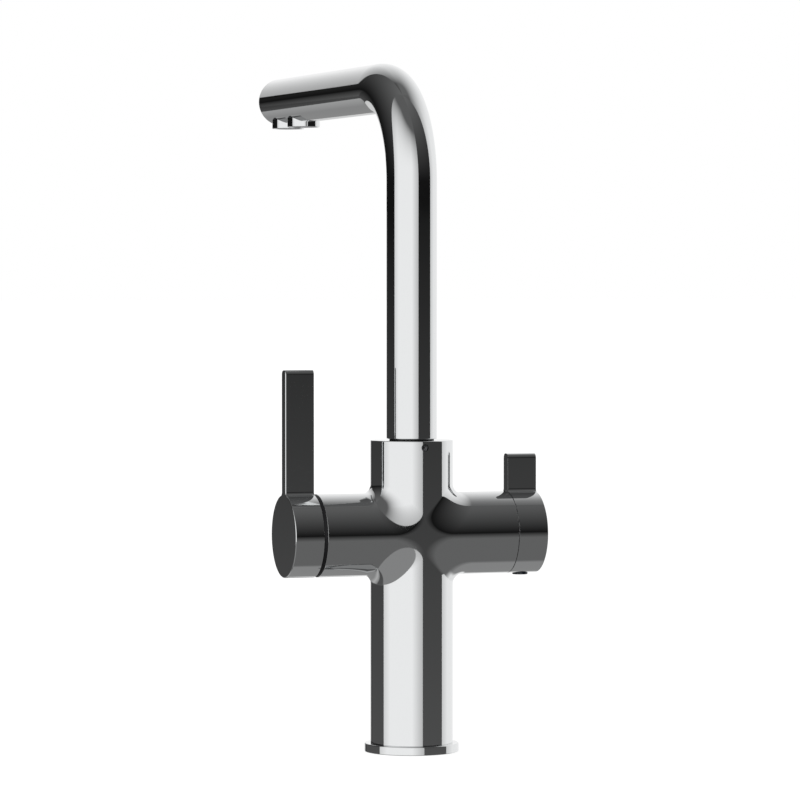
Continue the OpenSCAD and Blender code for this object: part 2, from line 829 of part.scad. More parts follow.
// Hub with its blade from x0 along the arm
module hub(x0, l, rise) {
    translate([x0, 0, arm_z]) union() {
        rotate([0, 90, 0]) cylinder(r = body_r, h = l);
        intersection() {
            rotate([90, 0, 90]) linear_extrude(height = l) blade_outline(rise);
            rotate([90, 0, 0]) linear_extrude(height = body_d, center = true) blade_front(l, rise);
        }
    }
}

module lever() {
    color(CHROME) difference() {
        union() {
            difference() {
                hub(hub_x0, hub_l, lever_rise);
                on_mixer() intersection() {
                    translate([0, 0, pivot_x]) sphere(r = cup_r);
                    bar(body_r, hub_x0 - over, cup_end);
                }
            }
            on_mixer() bar(boss_r, boss_x0, cup_end + over);
        }
        translate([boss_x0 - over, -stem_hole, arm_z - stem_hole])
            cube([stem_end + 0.2 - boss_x0 + over, 2 * stem_hole, 2 * stem_hole]);
        translate([lever_screw_x, 0, arm_z]) rotate([90, 0, 0]) {
            bar(grub_hole, 0, body_r + over);
            bar(lever_plug_r + seat_c, body_r - plug_deep, body_r + over);
        }
    }
}

module lever_stem() {
    neck_rad = ball_r - 1;
    color(STEEL) translate([0, 0, arm_z]) difference() {
        union() {
            translate([pivot_x, -stem_half, -stem_half]) cube([stem_end - pivot_x, stem_w, stem_w]);
            translate([pivot_x, 0, 0]) rotate([90, 0, 0]) cylinder(r = stem_half, h = stem_w, center = true);
            translate([ball_x, 0, 0]) rotate([0, 90, 0]) cylinder(r = neck_rad, h = ball_arm);
            translate([ball_x, 0, 0]) sphere(r = ball_r);
        }
        translate([pivot_x, 0, 0]) rotate([90, 0, 0]) cylinder(r = pin_r + turn_c, h = stem_w + over, center = true);
    }
}

module lever_screw() {
    color(STEEL) translate([lever_screw_x, 0, arm_z]) rotate([90, 0, 0]) grub(grub_r, stem_half, stem_half + grub_l);
}

module lever_plug() {
    color(PLASTIC) translate([lever_screw_x, 0, arm_z]) rotate([90, 0, 0]) intersection() {
        bar(lever_plug_r, body_r - plug_deep, body_r + over);
        rotate([0, 90, 0]) cylinder(r = body_r, h = 4 * lever_plug_d, center = true);
    }
}

module moving_disc() {
    color(CERAMIC) on_mixer() difference() {
        bar(moving_d / 2, moving_x0, moving_x1);
        translate([-1, 0, 0]) bar(3.4, moving_x0 - over, moving_x0 + 1.8);
    }
}

module disc_carrier() {
    color(PLASTIC) on_mixer() difference() {
        union() {
            bar(moving_d / 2, moving_x1, carrier_x1);
            translate([-tongue_l / 2, -tongue_w / 2, carrier_x1 - eps])
                cube([tongue_l, tongue_w, tongue_h + eps]);
        }
        bar(ball_hole, ball_x - ball_r - 0.4, tongue_x1 + over);
    }
}

module knob() {
    color(CHROME) difference() {
        hub(-knob_x1, knob_l, knob_rise);
        on_filter() {
            bar(recess_r, knob_x0 - over, recess_x1);
            bar(knob_hole, knob_x0 - over, spindle_x1 + 0.3);
        }
        translate([-knob_mid, 0, arm_z]) rotate([180, 0, 0]) {
            bar(grub_hole, 0, body_r + over);
            bar(knob_plug_r + seat_c, body_r - plug_deep, body_r + over);
        }
    }
}

module valve_spindle() {
    color(BRASS) on_filter() difference() {
        union() {
            bar(vdisc_r - 0.1, drive_x0, drive_x1);
            bar(spindle_r, drive_x1 - over, spline_x0);
            bar(spline_r, spline_x0 - over, spindle_x1);
        }
        for (x = spindle_seal_x) shaft_groove(spindle_r, spindle_seal_t - turn_c, spindle_seal_t + 0.4, x);
        shaft_groove(spindle_r, clip_groove, clip_t + 0.1, clip_x0 + clip_t / 2);
        rotate([0, 0, 90]) valve_ports(drive_x0 - over, drive_x0 + drive_port);
    }
}

module spindle_seals() {
    deep = spindle_seal_t - turn_c;
    color(RUBBER) on_filter() for (x = spindle_seal_x) o_ring(spindle_r - deep / 2, deep - 0.06, x);
}

module spindle_clip() {
    color(STEEL) on_filter() difference() {
        sleeve(spindle_r + 1.6, spindle_r - clip_groove + 0.05, clip_x0, clip_x0 + clip_t);
        translate([0, -2, clip_x0 - over]) cube([spindle_d, 4, clip_t + 2 * over]);
    }
}

module knob_screw() {
    color(STEEL) translate([-knob_mid, 0, arm_z]) rotate([180, 0, 0]) grub(grub_r, spline_r, knob_screw_end);
}

module knob_plug() {
    color(PLASTIC) translate([-knob_mid, 0, arm_z]) rotate([180, 0, 0])
        bar(knob_plug_r, body_r - plug_deep, body_r + knob_plug_h);
}

body();
foot();
base_ring();
base_gasket();
collar_screw();
slide_ring();
filter_tube_seal();
cartridge_seals();
cartridge_base();
fixed_disc();
cartridge_housing();
cartridge_nut();
dome_ring();
valve_body();
valve_washer();
valve_seat();
valve_fixed_disc();
spout_tube();
spout_plug();
spout_nipple();
nipple_seals();
filter_tube();
mixed_outlet();
mixed_aerator();
mixed_seal();
filter_outlet();
filter_insert();
filter_seal();
cartridge_rotor();
pivot_pin();
lever();
lever_stem();
lever_screw();
lever_plug();
moving_disc();
disc_carrier();
knob();
valve_spindle();
spindle_seals();
valve_moving_disc();
spindle_clip();
knob_screw();
knob_plug();
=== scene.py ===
"""Looks of a three-way kitchen mixer tap with a drinking water filter valve."""

import json
import math

import bpy
from bpy.props import FloatProperty, FloatVectorProperty, IntProperty, PointerProperty
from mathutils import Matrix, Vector


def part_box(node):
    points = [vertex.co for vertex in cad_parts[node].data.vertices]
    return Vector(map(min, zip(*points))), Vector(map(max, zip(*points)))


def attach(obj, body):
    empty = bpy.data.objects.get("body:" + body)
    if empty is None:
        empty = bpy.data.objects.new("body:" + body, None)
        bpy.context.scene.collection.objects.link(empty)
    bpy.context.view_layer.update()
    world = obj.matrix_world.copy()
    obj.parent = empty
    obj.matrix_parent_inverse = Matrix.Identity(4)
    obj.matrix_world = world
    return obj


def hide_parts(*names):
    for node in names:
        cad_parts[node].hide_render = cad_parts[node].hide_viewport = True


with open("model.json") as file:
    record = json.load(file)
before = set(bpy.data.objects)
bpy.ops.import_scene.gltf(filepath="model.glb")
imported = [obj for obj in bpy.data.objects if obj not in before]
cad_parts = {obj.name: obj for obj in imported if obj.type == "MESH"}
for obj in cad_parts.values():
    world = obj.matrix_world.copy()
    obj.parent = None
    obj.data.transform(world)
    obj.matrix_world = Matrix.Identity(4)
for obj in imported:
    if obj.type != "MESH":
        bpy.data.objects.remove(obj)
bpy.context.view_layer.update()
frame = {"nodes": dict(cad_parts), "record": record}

bl_info = {
    "name": "Filter mixer tap",
    "version": (1, 0, 0),
    "blender": (4, 5, 0),
    "location": "View3D > Sidebar > Tap",
    "description": "Dresses the packed tap with smooth chrome pieces and a plain studio",
    "category": "Object",
}

MM = 0.001
FULL_TURN = 2 * math.pi
QUARTER = math.pi / 2
SHARP_ANGLE = math.radians(40)
TINY = 1e-9
X_AXIS = Vector((1, 0, 0))
Y_AXIS = Vector((0, 1, 0))
Z_AXIS = Vector((0, 0, 1))

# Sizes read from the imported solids, in metres
BODY_LOW, BODY_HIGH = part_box("body")
FOOT_LOW, FOOT_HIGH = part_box("foot")
BASE_LOW, BASE_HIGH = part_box("base_ring")
GASKET_LOW, GASKET_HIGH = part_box("base_gasket")
TUBE_LOW, TUBE_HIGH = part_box("spout_tube")
TIP_LOW, TIP_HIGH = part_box("spout_plug")
SLIDE_LOW, SLIDE_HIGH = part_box("slide_ring")
NIPPLE_LOW, NIPPLE_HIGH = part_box("spout_nipple")
SCREW_LOW, SCREW_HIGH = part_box("collar_screw")
LEVER_LOW, LEVER_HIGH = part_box("lever")
KNOB_LOW, KNOB_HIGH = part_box("knob")
KNOB_PLUG_LOW, KNOB_PLUG_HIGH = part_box("knob_plug")
LEVER_PLUG_LOW, LEVER_PLUG_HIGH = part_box("lever_plug")
DOME_LOW, DOME_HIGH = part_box("dome_ring")
HOUSING_LOW, HOUSING_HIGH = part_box("cartridge_housing")
NUT_LOW, NUT_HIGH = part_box("cartridge_nut")
CART_SEAL_LOW, CART_SEAL_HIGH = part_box("cartridge_seals")
PIN_LOW, PIN_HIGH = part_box("pivot_pin")
VALVE_LOW, VALVE_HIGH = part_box("valve_body")
WASHER_LOW, WASHER_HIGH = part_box("valve_washer")
VALVE_SEAT_LOW, VALVE_SEAT_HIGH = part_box("valve_seat")

BODY_R = BODY_HIGH.y
ARM_Z = (PIN_LOW.z + PIN_HIGH.z) / 2
ARM_CENTRE = Vector((0, 0, ARM_Z))
PIVOT_X = (PIN_LOW.x + PIN_HIGH.x) / 2
TUBE_R = TUBE_HIGH.y
SPOUT_Z = TUBE_HIGH.z - TUBE_R

# Sizes that a box alone doesn't give
NIPPLE_HIGH_R = 10 * MM
FOOT_SPIGOT_R = 18 * MM
PORT_DEPTH = 12 * MM
PORT_BORE_R = 4.5 * MM
PORT_RING_R = 11 * MM
PORT_COUNT = 3
STUD_DEPTH = 20 * MM
STUD_BORE_R = 3.4 * MM
WASHER_BORE_R = 10.05 * MM
DOME_EDGE_R = 16.92 * MM
DOME_R = math.hypot(DOME_EDGE_R, DOME_HIGH.x - PIVOT_X)
SEAT_CLEAR = 0.05 * MM
CUP_CLEAR = 0.5 * MM


# Values that a user can change

def length(name, description, size):
    """A length, given in millimetres"""
    return FloatProperty(
        name=name, description=description, default=size * MM, min=0, unit="LENGTH", precision=5)


def tint(name, description, *colour):
    """A colour"""
    return FloatVectorProperty(
        name=name, description=description, default=colour, min=0, max=1, subtype="COLOR", size=3)


def factor(name, description, share):
    """A share between none and all"""
    return FloatProperty(
        name=name, description=description, default=share, min=0, max=1, subtype="FACTOR")


class TapSizes(bpy.types.PropertyGroup):
    """Roundings and shape values of the smooth pieces"""

    blend: length("Arm fillet at the sides", "Fillet between the column and the arms at their sides", 4)
    blend_arm: length(
        "Front fillet along the arm", "Reach along the arm at the front and back of the crossing", 14)
    blend_column: length(
        "Front fillet up the column", "Reach up the column at the front and back of the crossing", 10)
    bend: length("Spout bend", "Radius of the bend on the tube's axis", 48.5)
    top_round: length("Column rounding", "Rounding of the column's top edge", 0.5)
    arm_round: length("Arm end rounding", "Rounding of the arms' end edges", 0.1)
    hub_round: length("Hub rounding", "Rounding of the blades' edges and of the hubs' outer edges", 0.45)
    seam_round: length("Seam rounding", "Rounding of the hubs' edges that face the arms", 0.03)
    blade: length("Blade thickness", "Thickness of both blades", 6.2)
    blade_top: length("Blade top rounding", "Rounding of a blade's top across its thickness", 2.4)
    blade_foot: length("Blade foot fillet", "Fillet between a blade and its hub", 2)
    base_round: length("Base rounding", "Rounding of the base ring's upper edge", 0.5)
    tip_round: length("Tube end rounding", "Rounding of the spout tube's ends", 0.5)
    rim_round: length("Outlet rim rounding", "Rounding of the outlet collars' lower edges", 0.35)
    mixed_jet: length("Mixed water jets", "Radius of the mixed water aerator's jets", 0.75)
    filter_jet: length("Filter water jets", "Radius of the filter insert's jets", 1.3)
    steps: IntProperty(
        name="Steps in a half turn", description="Faces in half a turn of a round piece",
        default=64, min=16, max=128)


class TapFinish(bpy.types.PropertyGroup):
    """Colours and gloss of the finishes"""

    chrome: tint("Chrome", "Colour of the chrome plate", 0.80, 0.81, 0.815)
    brass: tint("Brass", "Colour of the machined brass", 0.72, 0.50, 0.20)
    steel: tint("Steel", "Colour of the stainless steel", 0.55, 0.56, 0.57)
    grub_screw: tint("Grub screws", "Colour of the bright screws", 0.11, 0.11, 0.115)
    rubber: tint("Rubber", "Colour of the seals", 0.018, 0.018, 0.019)
    ceramic: tint("Ceramic", "Colour of the ceramic discs", 0.80, 0.77, 0.70)
    # Dark plastic colour of the slide ring; on the lever's dome the same colour is painted shade for the
    # groove under the lever's cup
    black_plastic: tint("Black plastic", "Colour of the dark plastic pieces", 0.022, 0.022, 0.024)
    white_plastic: tint("White plastic", "Colour of the pale plastic pieces", 0.74, 0.75, 0.76)
    plug_blue: tint("Plugs", "Colour of the screw plugs", 0.012, 0.018, 0.032)
    gloss: factor("Chrome roughness", "Roughness of clean chrome", 0.035)
    marks: factor("Handling marks", "How much faint marks dull the chrome", 0.035)


class TapStage(bpy.types.PropertyGroup):
    """Camera and studio"""

    lens: FloatProperty(
        name="Lens", description="Focal length of the camera", default=187.48, min=1, unit="CAMERA")
    place: FloatVectorProperty(
        name="Camera place", description="Where the camera stands", subtype="TRANSLATION", size=3,
        unit="LENGTH", default=(0.67259, 1.98020, 0.23772), precision=5)
    heading: FloatProperty(
        name="Camera heading", description="Turn of the camera about the vertical",
        default=math.radians(161.4), subtype="ANGLE")
    tilt: FloatProperty(
        name="Camera tilt", description="How far the camera looks down",
        default=math.radians(1.6744), subtype="ANGLE")
    soft_light: FloatProperty(
        name="Soft light", description="Strength of the sky on matt surfaces", default=0.7, min=0)
    floor: tint("Floor", "Colour of the floor", 0.42, 0.42, 0.42)


# Mesh making

class Skin:
    """A mesh that grows strip by strip, with the true normals of its surface"""

    def __init__(self):
        self.points = []
        self.faces = []
        self.normals = []

    def ring(self, points):
        """Adds points and returns their numbers"""
        first = len(self.points)
        self.points.extend(Vector(p) for p in points)
        return list(range(first, len(self.points)))

    def face(self, corners, normals):
        """Adds one face that looks the way its normals do, without corners that fall together"""
        kept = []
        for corner, normal in zip(corners, normals):
            if not kept or corner != kept[-1][0]:
                kept.append((corner, normal))
        if len(kept) > 1 and kept[0][0] == kept[-1][0]:
            kept.pop()
        if len(kept) < 3:
            return
        middle = self.points[kept[0][0]]
        area = Vector()
        for (a, _), (b, _) in zip(kept, kept[1:] + kept[:1]):
            area += (self.points[a] - middle).cross(self.points[b] - middle)
        out = sum((Vector(n) for _, n in kept), Vector())
        if area.dot(out) < 0:
            kept.reverse()
        self.faces.append([c for c, _ in kept])
        self.normals.extend(Vector(n).normalized() for _, n in kept)

    def strip(self, a, b, na, nb):
        """Joins two closed rings of the same count"""
        count = len(a)
        for i in range(count):
            j = (i + 1) % count
            self.face([a[i], a[j], b[j], b[i]], [na[i], na[j], nb[j], nb[i]])

    def loft(self, sections):
        """Joins closed sections of places and normals, and returns their rings"""
        rings = [self.ring(places) for places, _ in sections]
        for k in range(len(rings) - 1):
            self.strip(rings[k], rings[k + 1], sections[k][1], sections[k + 1][1])
        return rings

    def cap(self, ring, normal):
        """Closes a ring with one flat face"""
        self.face(ring, [normal] * len(ring))

    def make(self, name, material):
        """Turns the skin into an object of the scene"""
        mesh = bpy.data.meshes.new(name)
        mesh.from_pydata([tuple(p) for p in self.points], [], self.faces)
        mesh.shade_smooth()
        mesh.normals_split_custom_set([tuple(n) for n in self.normals])
        mesh.materials.append(material)
        return show(name, mesh)


def show(name, data):
    """Links an object to the scene under its piece's name"""
    piece = bpy.data.objects.new(name, data)
    bpy.context.scene.collection.objects.link(piece)
    return piece


def seat(piece, body, slot, *nodes):
    """Puts a piece on its body in place of CAD nodes"""
    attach(piece, body)
    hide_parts(*nodes)
    return piece


def spaced(start, end, steps):
    """Even values from start to end"""
    return [start + (end - start) * i / steps for i in range(steps + 1)]


def arc_rows(centre, radius, start, end, steps, side=1):
    """Rows of an arc in a plane with their normals; side -1 is a hollow one"""
    rows = []
    for angle in spaced(start, end, steps):
        way = (math.cos(angle), math.sin(angle))
        place = (centre[0] + radius * way[0], centre[1] + radius * way[1])
        rows.append((place[0], place[1], (side * way[0], side * way[1])))
    return rows


def outer_edge(radius, end, size, steps):
    """Rounded edge between a side wall and the end face above it"""
    return arc_rows((radius - size, end - size), size, 0, QUARTER, steps)


def full_circle(side, up, steps):
    """Unit spokes of a whole turn"""
    turns = [FULL_TURN * i / steps for i in range(steps)]
    return [side * math.cos(t) + up * math.sin(t) for t in turns]


class Lathe:
    """Turns an outline of radius and height about an axis. A row of the outline is (radius, height),
    or (radius, height, normal) on a rounding."""

    def __init__(self, origin, axis, spokes):
        self.origin = Vector(origin)
        self.axis = axis
        self.spokes = spokes

    def around(self, row):
        """Points of one ring"""
        return [self.origin + s * row[0] + self.axis * row[1] for s in self.spokes]

    def leaning(self, normal):
        """Normals of one ring"""
        return [s * normal[0] + self.axis * normal[1] for s in self.spokes]

    @staticmethod
    def run_normal(a, b):
        """Normal of a straight run, to its right as radius goes right and height goes up"""
        run = Vector((b[0] - a[0], b[1] - a[1]))
        if run.length > 0:
            run.normalize()
        return (run.y, -run.x)

    def turn(self, skin, outline, first):
        """Adds the outline's strips from its first ring on, and returns the last ring"""
        ring = first
        for a, b in zip(outline, outline[1:]):
            new = skin.ring(self.around(b))
            if len(a) > 2 and len(b) > 2:
                start, end = a[2], b[2]
            else:
                start = end = self.run_normal(a, b)
            skin.strip(ring, new, self.leaning(start), self.leaning(end))
            ring = new
        return ring


def upright(x, y, steps):
    """A lathe on a vertical axis"""
    return Lathe((x, y, 0), Z_AXIS, full_circle(X_AXIS, Y_AXIS, steps))


def turned_bar(name, material, lathe, outline):
    """A closed turned piece with a flat face at each end"""
    skin = Skin()
    first = skin.ring(lathe.around(outline[0]))
    last = lathe.turn(skin, outline, first)
    away = 1 if outline[-1][1] > outline[0][1] else -1
    skin.cap(first, lathe.axis * -away)
    skin.cap(last, lathe.axis * away)
    return skin.make(name, material)


def turned_ring(name, material, lathe, outline):
    """A closed turned ring, whose outline comes back to its start"""
    skin = Skin()
    first = skin.ring(lathe.around(outline[0]))
    last = lathe.turn(skin, outline, first)
    flat = lathe.leaning(lathe.run_normal(outline[-1], outline[0]))
    skin.strip(last, first, flat, flat)
    return skin.make(name, material)


# Nodes

def feed(tree, node, values):
    """Links a node's inputs to sockets, or sets them to plain values"""
    for label, value in values.items():
        if isinstance(value, bpy.types.NodeSocket):
            tree.links.new(value, node.inputs[label])
        else:
            node.inputs[label].default_value = value
    return node


def add(tree, kind, values, **settings):
    """A new node with its settings and inputs"""
    node = tree.nodes.new(kind)
    for label, value in settings.items():
        setattr(node, label, value)
    return feed(tree, node, values)


def math_node(tree, kind, a, b):
    """Result of a math node on sockets or numbers"""
    return add(tree, "ShaderNodeMath", {0: a, 1: b}, operation=kind).outputs[0]


def noise_node(tree, vector, scale, detail):
    """Noise on given coordinates"""
    noise = add(tree, "ShaderNodeTexNoise", {"Detail": detail, "Vector": vector, "Scale": scale})
    return noise.outputs["Fac"]


def new_group(name, inputs, outputs):
    """An empty shader group with named sockets"""
    group = bpy.data.node_groups.new(name, "ShaderNodeTree")
    for label, (kind, value) in inputs.items():
        group.interface.new_socket(label, in_out="INPUT", socket_type=kind).default_value = value
    for label, kind in outputs.items():
        group.interface.new_socket(label, in_out="OUTPUT", socket_type=kind)
    return group, group.nodes.new("NodeGroupInput").outputs, group.nodes.new("NodeGroupOutput")


# Finishes

FLOAT, COLOUR, VECTOR = "NodeSocketFloat", "NodeSocketColor", "NodeSocketVector"
MARKS_SCALE = 38
FINE_MARKS = 9.0
MARKS_LOW = 0.2
MARKS_HIGH = 0.45
MIDDLE_GREY = (0.5, 0.5, 0.5, 1)
NOISE_MIDDLE = 0.5
RELIEF = 0.05 * MM

# Grain of the solid finishes: how many to the metre, how far it moves the tone, and the roughness
GRAINS = {
    "brass": dict(
        name="machined_brass", scale=900, tone=0.22, gloss=0.26, metal=1, bump=0.15, stretch=(1, 1, 7)),
    "steel": dict(
        name="stainless_steel", scale=1200, tone=0.2, gloss=0.3, metal=1, bump=0.12, stretch=(6, 1, 1)),
    "grub_screw": dict(name="bright_screw_steel", scale=1200, tone=0.08, gloss=0.14, metal=1),
    "rubber": dict(name="seal_rubber", scale=1500, tone=0.5, gloss=0.62, bump=0.3),
    "ceramic": dict(name="fired_ceramic", scale=700, tone=0.06, gloss=0.22),
    # Dark plastic of the slide ring, also put on the lever's dome as painted shade for the groove under its
    # cup
    "black_plastic": dict(name="dark_acetal", scale=1400, tone=0.3, gloss=0.42, bump=0.15, shine=0.15),
    "white_plastic": dict(name="pale_acetal", scale=1400, tone=0.05, gloss=0.38, bump=0.1),
    "plug_blue": dict(name="plug_plastic", scale=900, tone=0.25, gloss=0.22),
}


def handling_marks():
    """Faint wipe marks and water haze that change the gloss over a surface"""
    name = "handling_marks"
    if name in bpy.data.node_groups:
        return bpy.data.node_groups[name]
    group, start, end = new_group(
        name,
        {"Scale": (FLOAT, 40.0), "Clean": (FLOAT, 0.04), "Amount": (FLOAT, 0.03)},
        {"Roughness": FLOAT})
    where = group.nodes.new("ShaderNodeTexCoord").outputs["Object"]
    wide = noise_node(group, where, start["Scale"], detail=3)
    fine_scale = math_node(group, "MULTIPLY", start["Scale"], FINE_MARKS)
    fine = noise_node(group, where, fine_scale, detail=2)
    spread = add(group, "ShaderNodeMapRange", {
        "Value": math_node(group, "MULTIPLY", wide, fine), "From Min": MARKS_LOW, "From Max": MARKS_HIGH})
    dull = math_node(group, "MULTIPLY", spread.outputs["Result"], start["Amount"])
    feed(group, end, {"Roughness": math_node(group, "ADD", dull, start["Clean"])})
    return group


def surface_grain():
    """Fine grain for moulded, cut and fired surfaces"""
    name = "surface_grain"
    if name in bpy.data.node_groups:
        return bpy.data.node_groups[name]
    group, start, end = new_group(
        name,
        {"Colour": (COLOUR, MIDDLE_GREY), "Scale": (FLOAT, 800.0), "Tone": (FLOAT, 0.1),
         "Gloss": (FLOAT, 0.4), "Stretch": (VECTOR, (1, 1, 1))},
        {"Colour": COLOUR, "Height": FLOAT, "Roughness": FLOAT})
    where = group.nodes.new("ShaderNodeTexCoord").outputs["Object"]
    pull = add(group, "ShaderNodeVectorMath", {0: where, 1: start["Stretch"]}, operation="MULTIPLY")
    grain = noise_node(group, pull.outputs["Vector"], start["Scale"], detail=4)
    swing = math_node(group, "SUBTRACT", grain, NOISE_MIDDLE)
    tone = math_node(group, "MULTIPLY", swing, start["Tone"])
    lift = math_node(group, "ADD", tone, 1.0)
    shade = add(group, "ShaderNodeVectorMath", {0: start["Colour"], "Scale": lift}, operation="SCALE")
    feed(group, end, {
        "Colour": shade.outputs["Vector"], "Height": grain,
        "Roughness": math_node(group, "ADD", tone, start["Gloss"])})
    return group


def blank(name):
    """A material with a Principled shader and nothing on it"""
    material = bpy.data.materials.new(name)
    material.use_nodes = True
    return material, material.node_tree, material.node_tree.nodes["Principled BSDF"]


def opaque(colour):
    """A colour with full alpha"""
    return (colour[0], colour[1], colour[2], 1)


def plate_finish(name, look):
    """Polished plate with faint marks in its gloss"""
    material, tree, shader = blank(name)
    marks = add(
        tree, "ShaderNodeGroup", {"Scale": MARKS_SCALE, "Clean": look.gloss, "Amount": look.marks},
        node_tree=handling_marks())
    feed(tree, shader, {
        "Base Color": opaque(look.chrome), "Metallic": 1, "Roughness": marks.outputs["Roughness"]})
    return material


def grain_finish(name, colour, scale, tone, gloss, metal=0, bump=0, stretch=(1, 1, 1), shine=0.5):
    """A solid finish with a fine grain in its colour, gloss and height"""
    material, tree, shader = blank(name)
    grain = add(
        tree, "ShaderNodeGroup",
        {"Colour": opaque(colour), "Scale": scale, "Tone": tone, "Gloss": gloss, "Stretch": stretch},
        node_tree=surface_grain()).outputs
    feed(tree, shader, {
        "Metallic": metal, "Specular IOR Level": shine,
        "Base Color": grain["Colour"], "Roughness": grain["Roughness"]})
    if bump:
        relief = add(tree, "ShaderNodeBump", {
            "Strength": bump, "Distance": RELIEF, "Height": grain["Height"]})
        feed(tree, shader, {"Normal": relief.outputs["Normal"]})
    return material


def finish(slot):
    """The finish of one of the record's material slots, or of the grub screws, made once"""
    look = bpy.context.scene.tap_finish
    name = "chrome_plate" if slot == "chrome" else GRAINS[slot]["name"]
    if name in bpy.data.materials:
        return bpy.data.materials[name]
    if slot == "chrome":
        return plate_finish(name, look)
    return grain_finish(colour=getattr(look, slot), **GRAINS[slot])


# Body

# How quickly the fillet of the crossing widens from the sides
FILLET_POWER = 5


def fillet_reach(angle, side, front):
    """Reach of the fillet at an angle from the side to the front, and how fast it grows there"""
    cosine, sine = math.cos(angle), math.sin(angle)
    reach = side + (front - side) * (1 - cosine ** FILLET_POWER)
    return reach, FILLET_POWER * (front - side) * cosine ** (FILLET_POWER - 1) * sine


def fillet_arc(angle, radius, sizes, steps):
    """Points and normals of one flat section across the fillet, from the column to the arm. The fillet
    widens towards the front and the back, where the column and the arm are level, most along the arm."""
    along, along_growth = fillet_reach(angle, sizes.blend, sizes.blend_arm)
    up, up_growth = fillet_reach(angle, sizes.blend, sizes.blend_column)
    half = radius * math.cos(angle)
    depth = radius * math.sin(angle)
    rows = []
    for turn in spaced(0, QUARTER, steps):
        c, s = math.cos(turn), math.sin(turn)
        place = Vector((half + along * (1 - c), depth, half + up * (1 - s)))
        lean = along * s * (depth - up_growth * (1 - s)) + up * c * (depth - along_growth * (1 - c))
        normal = Vector((up * c * half, lean, along * s * half))
        if abs(half) < TINY:
            normal = Vector((0, depth, 0))
        rows.append((place, normal.normalized()))
    return rows


